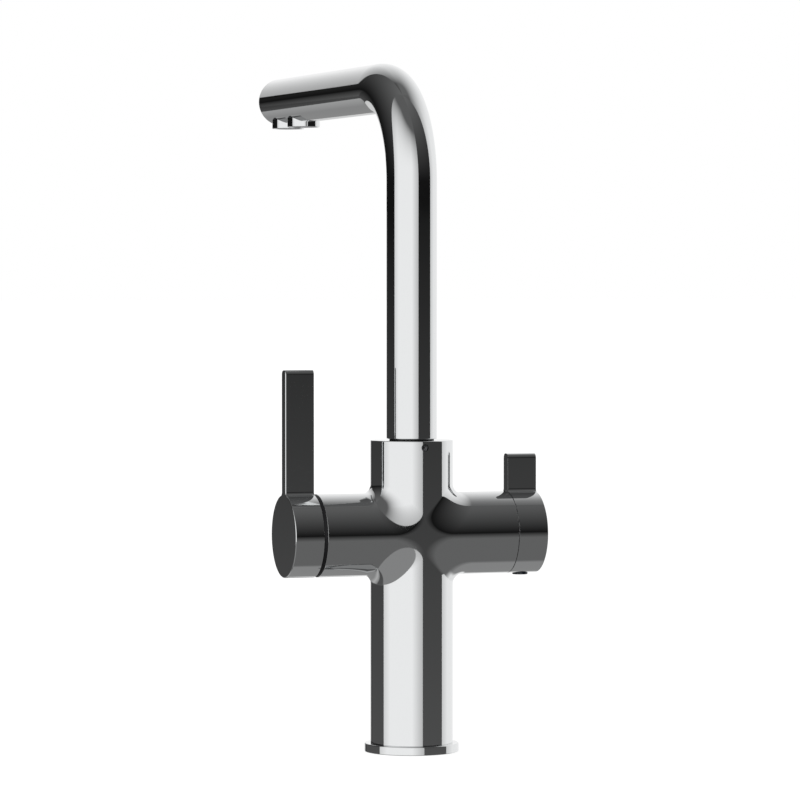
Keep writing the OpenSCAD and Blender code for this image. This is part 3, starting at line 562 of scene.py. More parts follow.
class TAP_OT_body(bpy.types.Operator):
    """Column and both arms as one smooth casting, with its sockets, and the foot with its hose ports"""

    bl_idname = "tap.body"
    bl_label = "Body"

    FILLET_STEPS = 16
    ROUND_STEPS = 5
    LOWER_ROWS = 4
    PATCH_ROWS = 6
    PATCH_COLUMNS = 3
    PATCH_RINGS = 4
    PATCH_SHARE = 0.86
    FOOT_EDGE = 0.1 * MM
    HOLE_CHAMFER = 0.2 * MM
    POCKET_CLEAR = 1.2 * MM
    SAME = 0.001 * MM

    def execute(self, context):
        self.sizes = context.scene.tap_sizes
        self.skin = Skin()
        self.known = {}
        self.angles = spaced(-QUARTER, QUARTER, self.sizes.steps)
        self.screw_z = (SCREW_LOW.z + SCREW_HIGH.z) / 2 - ARM_Z
        self.wall_top = BODY_HIGH.z - self.sizes.top_round - ARM_Z
        half = (self.wall_top - self.screw_z) * self.PATCH_SHARE
        self.patch_heights = spaced(self.screw_z - half, self.screw_z + half, self.PATCH_ROWS)
        for east in (1, -1):
            for top in (1, -1):
                self.corner(east, top)
        self.screw_hole()
        self.column_top()
        self.column_bottom()
        self.mixer_end()
        self.filter_end()
        seat(self.skin.make("tap_body", finish("chrome")), "root", "chrome", "body")
        self.foot()
        return {"FINISHED"}

    def foot(self):
        """Foot with the stud's bore and three hose ports in its underside"""
        low = {"Plate Radius": FOOT_SPIGOT_R, "Thickness": PORT_DEPTH, "Middle Radius": STUD_BORE_R,
               "Jet Radius": PORT_BORE_R, "Pitch": PORT_RING_R, "Material": finish("chrome")}
        high = dict(low, Thickness=STUD_DEPTH - PORT_DEPTH)
        ports = jet_tree("port_plate", [PORT_COUNT], math.pi)
        lower = grown(carrier_for("lower_foot"), ports, low, "lower_foot")
        upper = grown(carrier_for("upper_foot"), jet_tree("stud_plate", [], 0), high, "upper_foot")
        shift(lower.data, Z_AXIS * FOOT_LOW.z)
        shift(upper.data, Z_AXIS * (FOOT_LOW.z + PORT_DEPTH))
        seat(lower, "root", "chrome", "foot")
        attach(upper, "root")

    def point(self, place):
        """Number of a point that neighbouring strips share; place is from the middle of the arms"""
        key = tuple(round(c / self.SAME) for c in place)
        if key not in self.known:
            self.known[key] = self.skin.ring([ARM_CENTRE + place])[0]
        return self.known[key]

    def grid(self, rows, skip=None):
        """Joins rows of (place, normal) that all have the same count"""
        for i, (ra, rb) in enumerate(zip(rows, rows[1:])):
            for k in range(len(ra) - 1):
                if skip and skip(i, k):
                    continue
                corners = [ra[k], ra[k + 1], rb[k + 1], rb[k]]
                self.skin.face([self.point(p) for p, _ in corners], [n for _, n in corners])

    def wall_heights(self, start, top):
        """Heights of the points on one upright line of the column"""
        if top < 0:
            end = ARM_Z - FOOT_LOW.z - (BASE_HIGH.z - BASE_LOW.z) - self.FOOT_EDGE
            return spaced(start, end, self.LOWER_ROWS)
        below = spaced(start, self.patch_heights[0], self.LOWER_ROWS)
        return below[:-1] + self.patch_heights + [self.wall_top]

    def corner(self, east, top):
        """One fillet with the column wall and the arm wall that run out of it"""
        turn = Vector((east, 1, top))
        arm_end = (BODY_HIGH.x if east > 0 else -BODY_LOW.x) - self.sizes.arm_round
        fillets, walls, arms = [], [], []
        for angle in self.angles:
            row = fillet_arc(angle, BODY_R, self.sizes, self.FILLET_STEPS)
            fillets.append([(p * turn, n * turn) for p, n in row])
            lean = Vector((math.cos(angle), math.sin(angle), 0))
            heights = self.wall_heights(row[0][0].z, top)
            walls.append([((lean * BODY_R + Z_AXIS * h) * turn, lean * turn) for h in heights])
            lean = Vector((0, math.sin(angle), math.cos(angle)))
            reach = spaced(row[-1][0].x, arm_end, self.LOWER_ROWS)
            arms.append([((lean * BODY_R + X_AXIS * x) * turn, lean * turn) for x in reach])
        self.grid(fillets)
        self.flat(fillets[0])
        self.flat(fillets[-1])
        self.grid(arms)
        if top < 0:
            self.grid(walls)
            return
        first = len(walls) - 1 - self.PATCH_COLUMNS
        last = self.LOWER_ROWS + self.PATCH_ROWS
        self.grid(walls, lambda i, k: i >= first and self.LOWER_ROWS <= k < last)

    def flat(self, row):
        """Level quarter at the very front or back of the crossing, inside one fillet"""
        normal = row[0][1]
        middle = self.point(Vector((0, row[0][0].y, 0)))
        ring = [self.point(p) for p, _ in row]
        for a, b in zip(ring, ring[1:]):
            self.skin.face([middle, a, b], [normal] * 3)

    def screw_hole(self):
        """Patch at the back of the column with the round hole of the retaining screw"""
        columns = []
        for i in range(-self.PATCH_COLUMNS, self.PATCH_COLUMNS + 1):
            angle = self.angles[len(self.angles) - 1 - abs(i)]
            side = 1 if i > 0 else -1
            columns.append(side * BODY_R * math.cos(angle))
        rows = self.patch_heights
        edge = [(x, rows[0]) for x in columns]
        edge += [(columns[-1], z) for z in rows[1:]]
        edge += [(x, rows[-1]) for x in reversed(columns[:-1])]
        edge += [(columns[0], z) for z in reversed(rows[1:-1])]
        hole_r = (SCREW_HIGH.x - SCREW_LOW.x) / 2 + SEAT_CLEAR + self.HOLE_CHAMFER
        rim = []
        for x, z in edge:
            way = Vector((x, z - self.screw_z)).normalized()
            rim.append((way.x * hole_r, self.screw_z + way.y * hole_r))
        old, old_normals = None, None
        for share in spaced(0, 1, self.PATCH_RINGS):
            ring, normals = [], []
            for (xa, za), (xb, zb) in zip(edge, rim):
                x = xa + (xb - xa) * share
                z = za + (zb - za) * share
                y = math.sqrt(BODY_R ** 2 - x ** 2)
                ring.append(self.point(Vector((x, y, z))))
                normals.append(Vector((x, y, 0)))
            if old:
                self.skin.strip(old, ring, old_normals, normals)
            old, old_normals = ring, normals
        spokes = [Vector((x, 0, z - self.screw_z)).normalized() for x, z in rim]
        lathe = Lathe(ARM_CENTRE + Z_AXIS * self.screw_z, Y_AXIS, spokes)
        bore = hole_r - self.HOLE_CHAMFER
        depth = (NIPPLE_HIGH.x - NIPPLE_LOW.x) / 2
        mouth = BODY_R - 2 * self.HOLE_CHAMFER
        end = lathe.turn(self.skin, [(hole_r, BODY_R), (bore, mouth), (bore, depth)], old)
        self.skin.cap(end, Y_AXIS)

    def close(self, origin, axis, across, wall_end, size, socket):
        """Rounds the end of a wall, runs on into its socket and closes that"""
        there = [across * math.cos(a) + Y_AXIS * math.sin(a) for a in self.angles]
        back = [Y_AXIS * math.sin(a) - across * math.cos(a) for a in reversed(self.angles[1:-1])]
        lathe = Lathe(origin, axis, there + back)
        outline = outer_edge(BODY_R, wall_end, size, self.ROUND_STEPS) + socket
        first = [self.point(p - ARM_CENTRE) for p in lathe.around(outline[0])]
        self.skin.cap(lathe.turn(self.skin, outline, first), axis)

    def column_top(self):
        """Seat of the slide ring and socket of the spout's nipple"""
        top = BODY_HIGH.z
        ring_r = SLIDE_HIGH.x + SEAT_CLEAR
        bore = NIPPLE_HIGH_R + SEAT_CLEAR
        self.close(Vector(), Z_AXIS, X_AXIS, top, self.sizes.top_round, [
            (ring_r, top), (ring_r, SLIDE_LOW.z), (bore, SLIDE_LOW.z), (bore, NIPPLE_LOW.z)])

    def column_bottom(self):
        """Bore for the foot"""
        bottom = -BASE_HIGH.z
        bore = FOOT_SPIGOT_R + SEAT_CLEAR
        self.close(Vector(), -Z_AXIS, X_AXIS, bottom, self.FOOT_EDGE, [
            (bore, bottom), (bore, -FOOT_HIGH.z)])

    def mixer_end(self):
        """Seat of the cartridge nut and bore of the cartridge"""
        end = BODY_HIGH.x
        nut_r = NUT_HIGH.y + SEAT_CLEAR
        bore = HOUSING_HIGH.y + SEAT_CLEAR
        self.close(ARM_CENTRE, X_AXIS, Z_AXIS, end, self.sizes.arm_round, [
            (nut_r, end), (nut_r, NUT_LOW.x), (bore, NUT_LOW.x), (bore, CART_SEAL_LOW.x)])

    def filter_end(self):
        """Pocket and bore of the filter valve"""
        end = -BODY_LOW.x
        pocket = max(VALVE_HIGH.y, VALVE_HIGH.z - ARM_Z) + self.POCKET_CLEAR
        washer = -WASHER_HIGH.x
        self.close(ARM_CENTRE, -X_AXIS, Z_AXIS, end, self.sizes.arm_round, [
            (pocket, end), (pocket, washer), (WASHER_BORE_R, washer), (WASHER_BORE_R, -VALVE_SEAT_HIGH.x)])


# Handles

class HandleShape:
    """Outline of a hub with a blade, seen along the arm, and its solid"""

    HUB_STEPS = 48
    FOOT_STEPS = 10
    TOP_STEPS = 10
    EDGE_STEPS = 6
    BLADE_ROWS = 4

    def __init__(self, sizes, rise):
        half = sizes.blade / 2
        foot = sizes.blade_foot
        top = sizes.blade_top
        centre_y = half + foot
        centre_z = math.sqrt((BODY_R + foot) ** 2 - centre_y ** 2)
        self.lean = math.atan2(centre_z, centre_y)
        side = arc_rows((0, 0), BODY_R, -QUARTER, self.lean, self.HUB_STEPS)
        side += arc_rows(
            (centre_y, centre_z), foot, math.pi + self.lean, math.pi, self.FOOT_STEPS, -1)[1:]
        side += [(half, z, (1, 0)) for z in spaced(centre_z, rise - top, self.BLADE_ROWS)[1:-1]]
        side += arc_rows((half - top, rise - top), top, 0, QUARTER, self.TOP_STEPS)
        mirrored = [(-y, z, (-n[0], n[1])) for y, z, n in reversed(side)]
        self.rows = side + mirrored[:-1]
        self.hub_count = self.HUB_STEPS + 1

    def section(self, edge, way, turn, size):
        """Places and normals at one turn of an edge rounding; edge is where the end face lies"""
        inset = size * (1 - math.cos(turn))
        x = edge - way * size * (1 - math.sin(turn))
        places, normals = [], []
        for y, z, normal in self.rows:
            places.append(Vector((x, y - normal[0] * inset, ARM_Z + z - normal[1] * inset)))
            out = Vector((0, normal[0], normal[1])) * math.cos(turn)
            normals.append(out + X_AXIS * way * math.sin(turn))
        return places, normals

    def build(self, skin, sizes, seam_x, end_x):
        """Adds the outer skin and the end face, and returns a lathe on the seam with its inner circle"""
        toward = 1 if end_x > seam_x else -1
        turns = spaced(0, QUARTER, self.EDGE_STEPS)
        sections = [self.section(seam_x, -toward, QUARTER - t, sizes.seam_round) for t in turns]
        sections += [self.section(end_x, toward, t, sizes.hub_round) for t in turns]
        rings = skin.loft(sections)
        skin.cap(rings[-1], X_AXIS * toward)
        circle = self.seam_face(skin, sizes, rings[0], seam_x, -toward)
        spokes = [(skin.points[c] - ARM_CENTRE - X_AXIS * seam_x).normalized() for c in circle]
        return Lathe(ARM_CENTRE, X_AXIS * -toward, spokes), circle

    def seam_face(self, skin, sizes, ring, seam_x, way):
        """Flat face of the blade at the seam, and the whole circle of the hub there"""
        right = ring[:self.hub_count]
        left = ring[len(ring) - self.hub_count + 1:]
        blade = ring[self.hub_count - 1:len(ring) - self.hub_count + 2]
        radius = BODY_R - sizes.seam_round
        root = arc_rows((0, 0), radius, self.lean, math.pi - self.lean, self.FOOT_STEPS)[1:-1]
        inner = skin.ring([Vector((seam_x, y, ARM_Z + z)) for y, z, _ in root])
        skin.cap(blade + list(reversed(inner)), X_AXIS * way)
        return right + inner + left


class TAP_OT_lever(bpy.types.Operator):
    """Mixer lever: hub with its cup and the long blade"""

    bl_idname = "tap.lever"
    bl_label = "Mixer lever"

    CUP_STEPS = 10
    END_WALL = 4.4 * MM
    BOSS_R = 7.5 * MM
    BOSS_LENGTH = 5.4 * MM
    PLUG_SUNK = 0.4 * MM
    PLUG_PROUD = 0.12 * MM
    # Share of the plug's radius, share of its rise and lean of its normal, from its edge to its middle
    PLUG_FACE = ((0.96, 0.7, 0.5), (0.88, 1, 0), (0.5, 1, 0), (0.15, 1, 0))

    def execute(self, context):
        sizes = context.scene.tap_sizes
        skin = Skin()
        shape = HandleShape(sizes, LEVER_HIGH.z - ARM_Z)
        lathe, circle = shape.build(skin, sizes, LEVER_LOW.x, LEVER_HIGH.x)
        cup_r = DOME_R + CUP_CLEAR
        floor = LEVER_HIGH.x - self.END_WALL
        start = math.acos((LEVER_LOW.x - PIVOT_X) / cup_r)
        end = math.acos((floor - PIVOT_X) / cup_r)
        outline = [(BODY_R - sizes.seam_round, -LEVER_LOW.x)]
        for turn in spaced(start, end, self.CUP_STEPS):
            row = (cup_r * math.sin(turn), -PIVOT_X - cup_r * math.cos(turn))
            outline.append((*row, (-math.sin(turn), math.cos(turn))))
        outline += [(self.BOSS_R, -floor), (self.BOSS_R, self.BOSS_LENGTH - floor)]
        skin.cap(lathe.turn(skin, outline, circle), -X_AXIS)
        seat(skin.make("mixer_lever_handle", finish("chrome")), "mixer_lever", "chrome", "lever")
        self.plug(sizes)
        return {"FINISHED"}

    def plug(self, sizes):
        """Screw plug that follows the round of the hub, a hair proud of it"""
        spokes = full_circle(X_AXIS, Z_AXIS, sizes.steps)
        sections = []
        for lift in (-self.PLUG_SUNK, 0):
            sections.append((self.plug_ring(spokes, 1, lift), spokes))
        for share, rise, lean in self.PLUG_FACE:
            places = self.plug_ring(spokes, share, self.PLUG_PROUD * rise)
            faces = [Vector((0, p.y, p.z - ARM_Z)).normalized() for p in places]
            sections.append((places, [f + way * lean for f, way in zip(faces, spokes)]))
        skin = Skin()
        rings = skin.loft(sections)
        skin.cap(rings[-1], -Y_AXIS)
        skin.cap(rings[0], Y_AXIS)
        seat(skin.make("lever_screw_plug", finish("plug_blue")), "mixer_lever", "plug_blue", "lever_plug")

    @staticmethod
    def plug_ring(spokes, share, lift):
        """One ring of the plug, lifted off the round of the hub"""
        x = (LEVER_PLUG_LOW.x + LEVER_PLUG_HIGH.x) / 2
        radius = (LEVER_PLUG_HIGH.x - LEVER_PLUG_LOW.x) / 2
        places = []
        for way in spokes:
            off = way * (radius * share)
            y = -math.sqrt((BODY_R + lift) ** 2 - off.z ** 2)
            places.append(Vector((x + off.x, y, ARM_Z + off.z)))
        return places


class TAP_OT_knob(bpy.types.Operator):
    """Filter knob: hub with the short blade and its plug"""

    bl_idname = "tap.knob"
    bl_label = "Filter knob"

    RECESS_WALL = 3.4 * MM
    RECESS_DEPTH = 3.2 * MM
    PLUG_EDGE = 0.25 * MM
    PLUG_STEPS = 4

    def execute(self, context):
        sizes = context.scene.tap_sizes
        skin = Skin()
        shape = HandleShape(sizes, KNOB_HIGH.z - ARM_Z)
        lathe, circle = shape.build(skin, sizes, KNOB_HIGH.x, KNOB_LOW.x)
        recess = BODY_R - self.RECESS_WALL
        floor = KNOB_HIGH.x - self.RECESS_DEPTH
        outline = [(BODY_R - sizes.seam_round, KNOB_HIGH.x), (recess, KNOB_HIGH.x), (recess, floor)]
        skin.cap(lathe.turn(skin, outline, circle), X_AXIS)
        seat(skin.make("filter_knob_handle", finish("chrome")), "filter_knob", "chrome", "knob")
        self.plug(sizes)
        return {"FINISHED"}

    def plug(self, sizes):
        """Round plug that stands proud under the knob"""
        x = (KNOB_PLUG_LOW.x + KNOB_PLUG_HIGH.x) / 2
        radius = (KNOB_PLUG_HIGH.x - KNOB_PLUG_LOW.x) / 2
        lathe = Lathe((x, 0, 0), -Z_AXIS, full_circle(X_AXIS, Y_AXIS, sizes.steps))
        outline = [(radius, -KNOB_PLUG_HIGH.z)]
        outline += outer_edge(radius, -KNOB_PLUG_LOW.z, self.PLUG_EDGE, self.PLUG_STEPS)
        piece = turned_bar("knob_screw_plug", finish("plug_blue"), lathe, outline)
        seat(piece, "filter_knob", "plug_blue", "knob_plug")


# Rings

class TAP_OT_rings(bpy.types.Operator):
    """Base ring, base gasket, slide ring and the dome under the lever"""

    bl_idname = "tap.rings"
    bl_label = "Rings"

    ROUND_STEPS = 5
    DOME_STEPS = 16
    FOOT_EDGE = 0.3 * MM
    GASKET_WIDTH = 2.6 * MM
    DOME_WALL = 1.9 * MM

    def execute(self, context):
        sizes = context.scene.tap_sizes
        lathe = upright(0, 0, 2 * sizes.steps)
        self.base(sizes, lathe)
        self.gasket(lathe)
        self.slide(lathe)
        self.dome(sizes)
        return {"FINISHED"}

    def base(self, sizes, lathe):
        """Base ring with the gasket's groove in its underside"""
        out, high, low = BASE_HIGH.x, BASE_HIGH.z, BASE_LOW.z
        bore = FOOT_SPIGOT_R + SEAT_CLEAR
        groove_out = GASKET_HIGH.x + SEAT_CLEAR
        groove_in = GASKET_HIGH.x - self.GASKET_WIDTH - SEAT_CLEAR
        roof = GASKET_HIGH.z
        size = self.FOOT_EDGE
        outline = [(bore, low), (groove_in, low), (groove_in, roof), (groove_out, roof), (groove_out, low)]
        outline += arc_rows((out - size, low + size), size, -QUARTER, 0, self.ROUND_STEPS)
        outline += outer_edge(out, high, sizes.base_round, self.ROUND_STEPS)
        outline += [(bore, high)]
        seat(turned_ring("base_flange", finish("chrome"), lathe, outline), "root", "chrome", "base_ring")

    def gasket(self, lathe):
        """Rubber ring in the groove"""
        outline = self.square_section(GASKET_HIGH.x - self.GASKET_WIDTH, GASKET_LOW, GASKET_HIGH)
        seat(turned_ring("base_seal", finish("rubber"), lathe, outline), "root", "rubber", "base_gasket")

    def slide(self, lathe):
        """Dark ring between the column and the spout"""
        outline = self.square_section(NIPPLE_HIGH_R + SEAT_CLEAR, SLIDE_LOW, SLIDE_HIGH)
        piece = turned_ring("spout_slide_ring", finish("black_plastic"), lathe, outline)
        seat(piece, "root", "black_plastic", "slide_ring")

    @staticmethod
    def square_section(inner, low, high):
        """Outline of a ring with flat sides, from its bore and the corners of its box"""
        return [(inner, low.z), (high.x, low.z), (high.x, high.z), (inner, high.z)]

    def dome(self, sizes):
        """Dome that the lever's cup tilts over, with its skirt in the arm. Its dark plastic finish is
        painted shade for the groove under the cup.
        """
        lathe = Lathe(ARM_CENTRE, X_AXIS, full_circle(Z_AXIS, Y_AXIS, 2 * sizes.steps))
        shelf = BODY_HIGH.x
        start = math.asin((shelf - PIVOT_X) / DOME_R)
        end = math.asin((DOME_HIGH.x - PIVOT_X) / DOME_R)
        inner = DOME_EDGE_R - self.DOME_WALL
        skirt = NUT_HIGH.y
        outline = [(inner, DOME_LOW.x), (skirt, DOME_LOW.x), (skirt, shelf)]
        outline += arc_rows((0, PIVOT_X), DOME_R, start, end, self.DOME_STEPS)
        outline += [(inner, DOME_HIGH.x)]
        # The dark plastic finish on the dome is painted shade: it stands for the shaded groove between the
        # lever's cup and the arm
        piece = turned_ring("lever_dome_painted_shade", finish("black_plastic"), lathe, outline)
        seat(piece, "root", "black_plastic", "dome_ring")


# Geometry trees

PLATE_STEPS = 96
JET_STEPS = 24
WELD = 0.005 * MM


def socket_id(tree, label):
    """Identifier of a tree's named input"""
    for item in tree.interface.items_tree:
        if item.name == label and item.in_out == "INPUT":
            return item.identifier
    raise RuntimeError("no input named " + label)


def new_tree(name, sizes):
    """A geometry tree with a geometry input, named sizes and a material"""
    tree = bpy.data.node_groups.new(name, "GeometryNodeTree")
    tree.interface.new_socket("Geometry", in_out="INPUT", socket_type="NodeSocketGeometry")
    for label, value in sizes.items():
        kind = "NodeSocketInt" if isinstance(value, int) else FLOAT
        tree.interface.new_socket(label, in_out="INPUT", socket_type=kind).default_value = value
    tree.interface.new_socket("Material", in_out="INPUT", socket_type="NodeSocketMaterial")
    tree.interface.new_socket("Geometry", in_out="OUTPUT", socket_type="NodeSocketGeometry")
    return tree, tree.nodes.new("NodeGroupInput").outputs


def finish_tree(tree, geometry, start):
    """Ends a tree in Realize Instances and Set Material"""
    real = add(tree, "GeometryNodeRealizeInstances", {"Geometry": geometry})
    coat = add(tree, "GeometryNodeSetMaterial", {
        "Geometry": real.outputs["Geometry"], "Material": start["Material"]})
    add(tree, "NodeGroupOutput", {"Geometry": coat.outputs["Geometry"]})
    return tree


def joined(tree, parts):
    """Several geometries as one"""
    join = tree.nodes.new("GeometryNodeJoinGeometry")
    for part in parts:
        tree.links.new(part, join.inputs["Geometry"])
    return join.outputs["Geometry"]


def circle_node(tree, radius, steps):
    """A circle of given radius and steps"""
    circle = add(tree, "GeometryNodeCurvePrimitiveCircle", {"Resolution": steps, "Radius": radius})
    return circle.outputs["Curve"]


def sweep_tree():
    """Round tube along a path; the path's own radius scales it"""
    tree, start = new_tree("tube_sweep", {"Tube Radius": TUBE_R, "Sides": PLATE_STEPS})
    girth = tree.nodes.new("GeometryNodeInputRadius")
    sweep = add(tree, "GeometryNodeCurveToMesh", {
        "Fill Caps": True, "Curve": start["Geometry"], "Scale": girth.outputs["Radius"],
        "Profile Curve": circle_node(tree, start["Tube Radius"], start["Sides"])})
    return finish_tree(tree, sweep.outputs["Mesh"], start)


def jet_tree(name, counts, first_turn):
    """Round plate with a middle hole and rings of holes round it; counts are the holes in each ring"""
    tree, start = new_tree(name, {
        "Plate Radius": 7.4 * MM, "Thickness": 1.2 * MM, "Middle Radius": 0.75 * MM,
        "Jet Radius": 0.75 * MM, "Pitch": 2.6 * MM})
    edges = [circle_node(tree, start["Plate Radius"], PLATE_STEPS)]
    edges.append(circle_node(tree, start["Middle Radius"], JET_STEPS))
    jet = circle_node(tree, start["Jet Radius"], JET_STEPS)
    for k, count in enumerate(counts):
        reach = math_node(tree, "MULTIPLY", start["Pitch"], k + 1)
        ring = add(tree, "GeometryNodeMeshCircle", {"Vertices": count, "Radius": reach})
        turned = add(tree, "GeometryNodeTransform", {
            "Geometry": ring.outputs["Mesh"], "Rotation": (0, 0, first_turn)})
        spread = add(tree, "GeometryNodeInstanceOnPoints", {
            "Points": turned.outputs["Geometry"], "Instance": jet})
        real = add(tree, "GeometryNodeRealizeInstances", {"Geometry": spread.outputs["Instances"]})
        edges.append(real.outputs["Geometry"])
    plate = add(tree, "GeometryNodeFillCurve", {"Curve": joined(tree, edges)}).outputs["Mesh"]
    under = add(tree, "GeometryNodeFlipFaces", {"Mesh": plate}).outputs["Mesh"]
    thick = add(tree, "GeometryNodeExtrudeMesh", {
        "Individual": False, "Mesh": plate, "Offset Scale": start["Thickness"]}).outputs["Mesh"]
    weld = add(tree, "GeometryNodeMergeByDistance", {
        "Distance": WELD, "Geometry": joined(tree, [thick, under])})
    return finish_tree(tree, weld.outputs["Geometry"], start)


def grown(carrier, tree, values, name):
    """Runs a tree on a carrier object and keeps the result as a plain mesh"""
    modifier = carrier.modifiers.new("shape", "NODES")
    modifier.node_group = tree
    for label, value in values.items():
        modifier[socket_id(tree, label)] = value
    carrier.update_tag()
    graph = bpy.context.evaluated_depsgraph_get()
    mesh = bpy.data.meshes.new_from_object(carrier.evaluated_get(graph))
    data = carrier.data
    bpy.data.objects.remove(carrier)
    if data.users == 0:
        (bpy.data.curves if isinstance(data, bpy.types.Curve) else bpy.data.meshes).remove(data)
    mesh.name = name
    mesh.set_sharp_from_angle(angle=SHARP_ANGLE)
    return show(name, mesh)


def carrier_for(name):
    """An empty mesh object for a tree that makes its own shape"""
    return show(name + "_carrier", bpy.data.meshes.new(name + "_carrier"))


def shift(mesh, way):
    """Moves a mesh's points"""
    for vertex in mesh.vertices:
        vertex.co += way


# Spout

class TAP_OT_spout(bpy.types.Operator):
    """Spout tube along its bent path, and the plug in its tip"""

    bl_idname = "tap.spout"
    bl_label = "Spout"

    BEND_STEPS = 64
    ROUND_STEPS = 5
    TIP_STEP = 0.15 * MM
    TIP_EDGE = 0.25 * MM
    EDGE_GUARD = 0.1 * MM
    BEND_GUARD = 0.5 * MM

    def execute(self, context):
        sizes = context.scene.tap_sizes
        path = self.path(sizes)
        curve = bpy.data.curves.new("spout_path", "CURVE")
        curve.dimensions = "3D"
        spline = curve.splines.new("POLY")
        spline.points.add(len(path) - 1)
        for point, (y, z, girth) in zip(spline.points, path):
            point.co = (0, y, z, 1)
            point.radius = girth
        carrier = show("spout_path", curve)
        values = {"Tube Radius": TUBE_R, "Sides": 2 * sizes.steps, "Material": finish("chrome")}
        piece = grown(carrier, sweep_tree(), values, "spout_pipe")
        piece.data.shade_smooth()
        seat(piece, "spout", "chrome", "spout_tube")
        self.tip(sizes)
        return {"FINISHED"}

    def path(self, sizes):
        """Places along the tube's axis, with the share of its girth. Rows close to the ends' roundings and
        to the bend keep the straight runs' shading straight."""
        bend, size = sizes.bend, sizes.tip_round
        low = TUBE_LOW.z
        end = TUBE_LOW.y + self.TIP_STEP
        centre = SPOUT_Z - bend
        edge = []
        for t in spaced(0, QUARTER, self.ROUND_STEPS):
            edge.append((size * (1 - math.cos(t)), 1 - size / TUBE_R * (1 - math.sin(t))))
        edge.append((size + self.EDGE_GUARD, 1))
        rows = [(0, low + step, girth) for step, girth in edge]
        rows.append((0, centre - self.BEND_GUARD, 1))
        for t in spaced(0, QUARTER, self.BEND_STEPS):
            rows.append((-bend * (1 - math.cos(t)), centre + bend * math.sin(t), 1))
        rows.append((-bend - self.BEND_GUARD, SPOUT_Z, 1))
        return rows + [(end + step, SPOUT_Z, girth) for step, girth in reversed(edge)]

    def tip(self, sizes):
        """Plug in the tube's tip, a hair proud of it"""
        lathe = Lathe((0, 0, SPOUT_Z), -Y_AXIS, full_circle(X_AXIS, Z_AXIS, 2 * sizes.steps))
        radius = TIP_HIGH.x
        outline = [(radius, -TIP_HIGH.y)]
        outline += outer_edge(radius, -TIP_LOW.y, self.TIP_EDGE, self.ROUND_STEPS)
        piece = turned_bar("spout_tip_plug", finish("chrome"), lathe, outline)
        seat(piece, "spout", "chrome", "spout_plug")


class TAP_OT_outlets(bpy.types.Operator):
    """Both outlet collars with their jet plates"""

    bl_idname = "tap.outlets"
    bl_label = "Outlets"

    ROUND_STEPS = 4
    SINK = 2.5 * MM
    FLOOR = 1.2 * MM
    COLLAR_ROOF = 5.1 * MM
    MIXED_JETS = [6, 12]
    FILTER_JETS = [6]
    RIM_PITCHES = 0.35

    def execute(self, context):
        sizes = context.scene.tap_sizes
        self.collar(sizes, "mixed_outlet", "mixed_water_collar", "mixed_aerator")
        self.collar(sizes, "filter_outlet", "filter_water_collar", "filter_insert")
        self.plate(sizes.mixed_jet, self.MIXED_JETS, "mixed_aerator", "mixed_water_jets")
        self.plate(sizes.filter_jet, self.FILTER_JETS, "filter_insert", "filter_water_jets")
        return {"FINISHED"}

    def collar(self, sizes, node, name, insert):
        """Collar that runs up into the tube, with the bore for its jet plate. The bore's roof looks down,
        wherever it lies, and the top looks up."""
        low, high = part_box(node)
        plate_low, plate_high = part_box(insert)
        radius = (high.x - low.x) / 2
        bore = (plate_high.x - plate_low.x) / 2 + SEAT_CLEAR
        lathe = upright(0, (low.y + high.y) / 2, 2 * sizes.steps)
        size = sizes.rim_round
        top = TUBE_HIGH.z - 2 * TUBE_R + self.SINK
        outline = [(bore, low.z + self.COLLAR_ROOF)]
        outline += arc_rows((bore + size, low.z + size), size, math.pi, math.pi + QUARTER, self.ROUND_STEPS)
        outline += arc_rows((radius - size, low.z + size), size, -QUARTER, 0, self.ROUND_STEPS)
        outline += [(radius, top)]
        skin = Skin()
        first = skin.ring(lathe.around(outline[0]))
        last = lathe.turn(skin, outline, first)
        skin.cap(first, -Z_AXIS)
        skin.cap(last, Z_AXIS)
        seat(skin.make(name, finish("chrome")), "spout", "chrome", node)

    def plate(self, jet, counts, node, name):
        """Plate with its rings of jets"""
        low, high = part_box(node)
        radius = (high.x - low.x) / 2
        pitch = (radius - self.FLOOR) / (len(counts) + self.RIM_PITCHES)
        values = {"Plate Radius": radius, "Thickness": self.FLOOR, "Middle Radius": jet, "Jet Radius": jet,
                  "Pitch": pitch, "Material": finish("white_plastic")}
        piece = grown(carrier_for(name), jet_tree(name, counts, 0), values, name)
        shift(piece.data, Vector((0, (low.y + high.y) / 2, low.z)))
        seat(piece, "spout", "white_plastic", node)


class TAP_OT_inner(bpy.types.Operator):
    """Finishes of the solids that keep their own shape"""

    bl_idname = "tap.inner"
    bl_label = "Inner pieces"

    GRUB_SCREWS = ("collar_screw", "lever_screw", "knob_screw")

    def execute(self, context):
        slots = {row["node"]: row["material_slot"] for row in frame["record"]["subparts"]}
        slots.update((node, "grub_screw") for node in self.GRUB_SCREWS)
        for node, piece in frame["nodes"].items():
            if piece.hide_render:
                continue
            for place in piece.material_slots:
                place.material = finish(slots[node])
        return {"FINISHED"}


# Studio

def lit_card(name):
    """Plain glow whose strength is written on the card's points"""
    if name in bpy.data.materials:
        return bpy.data.materials[name]
    material, tree, shader = blank(name)
    tree.nodes.remove(shader)
    level = add(tree, "ShaderNodeAttribute", {}, attribute_name="level")
    glow = add(tree, "ShaderNodeEmission", {"Strength": level.outputs["Fac"]})
    feed(tree, tree.nodes["Material Output"], {"Surface": glow.outputs["Emission"]})
    return material


def mix(a, b, share):
    """Value between a and b, held at both ends"""
    return a + (b - a) * min(1, max(0, share))


def ramp(at, start, end, first, last):
    """Value that goes from first to last between two angles, and is held outside them"""
    return mix(first, last, (at - start) / (end - start))


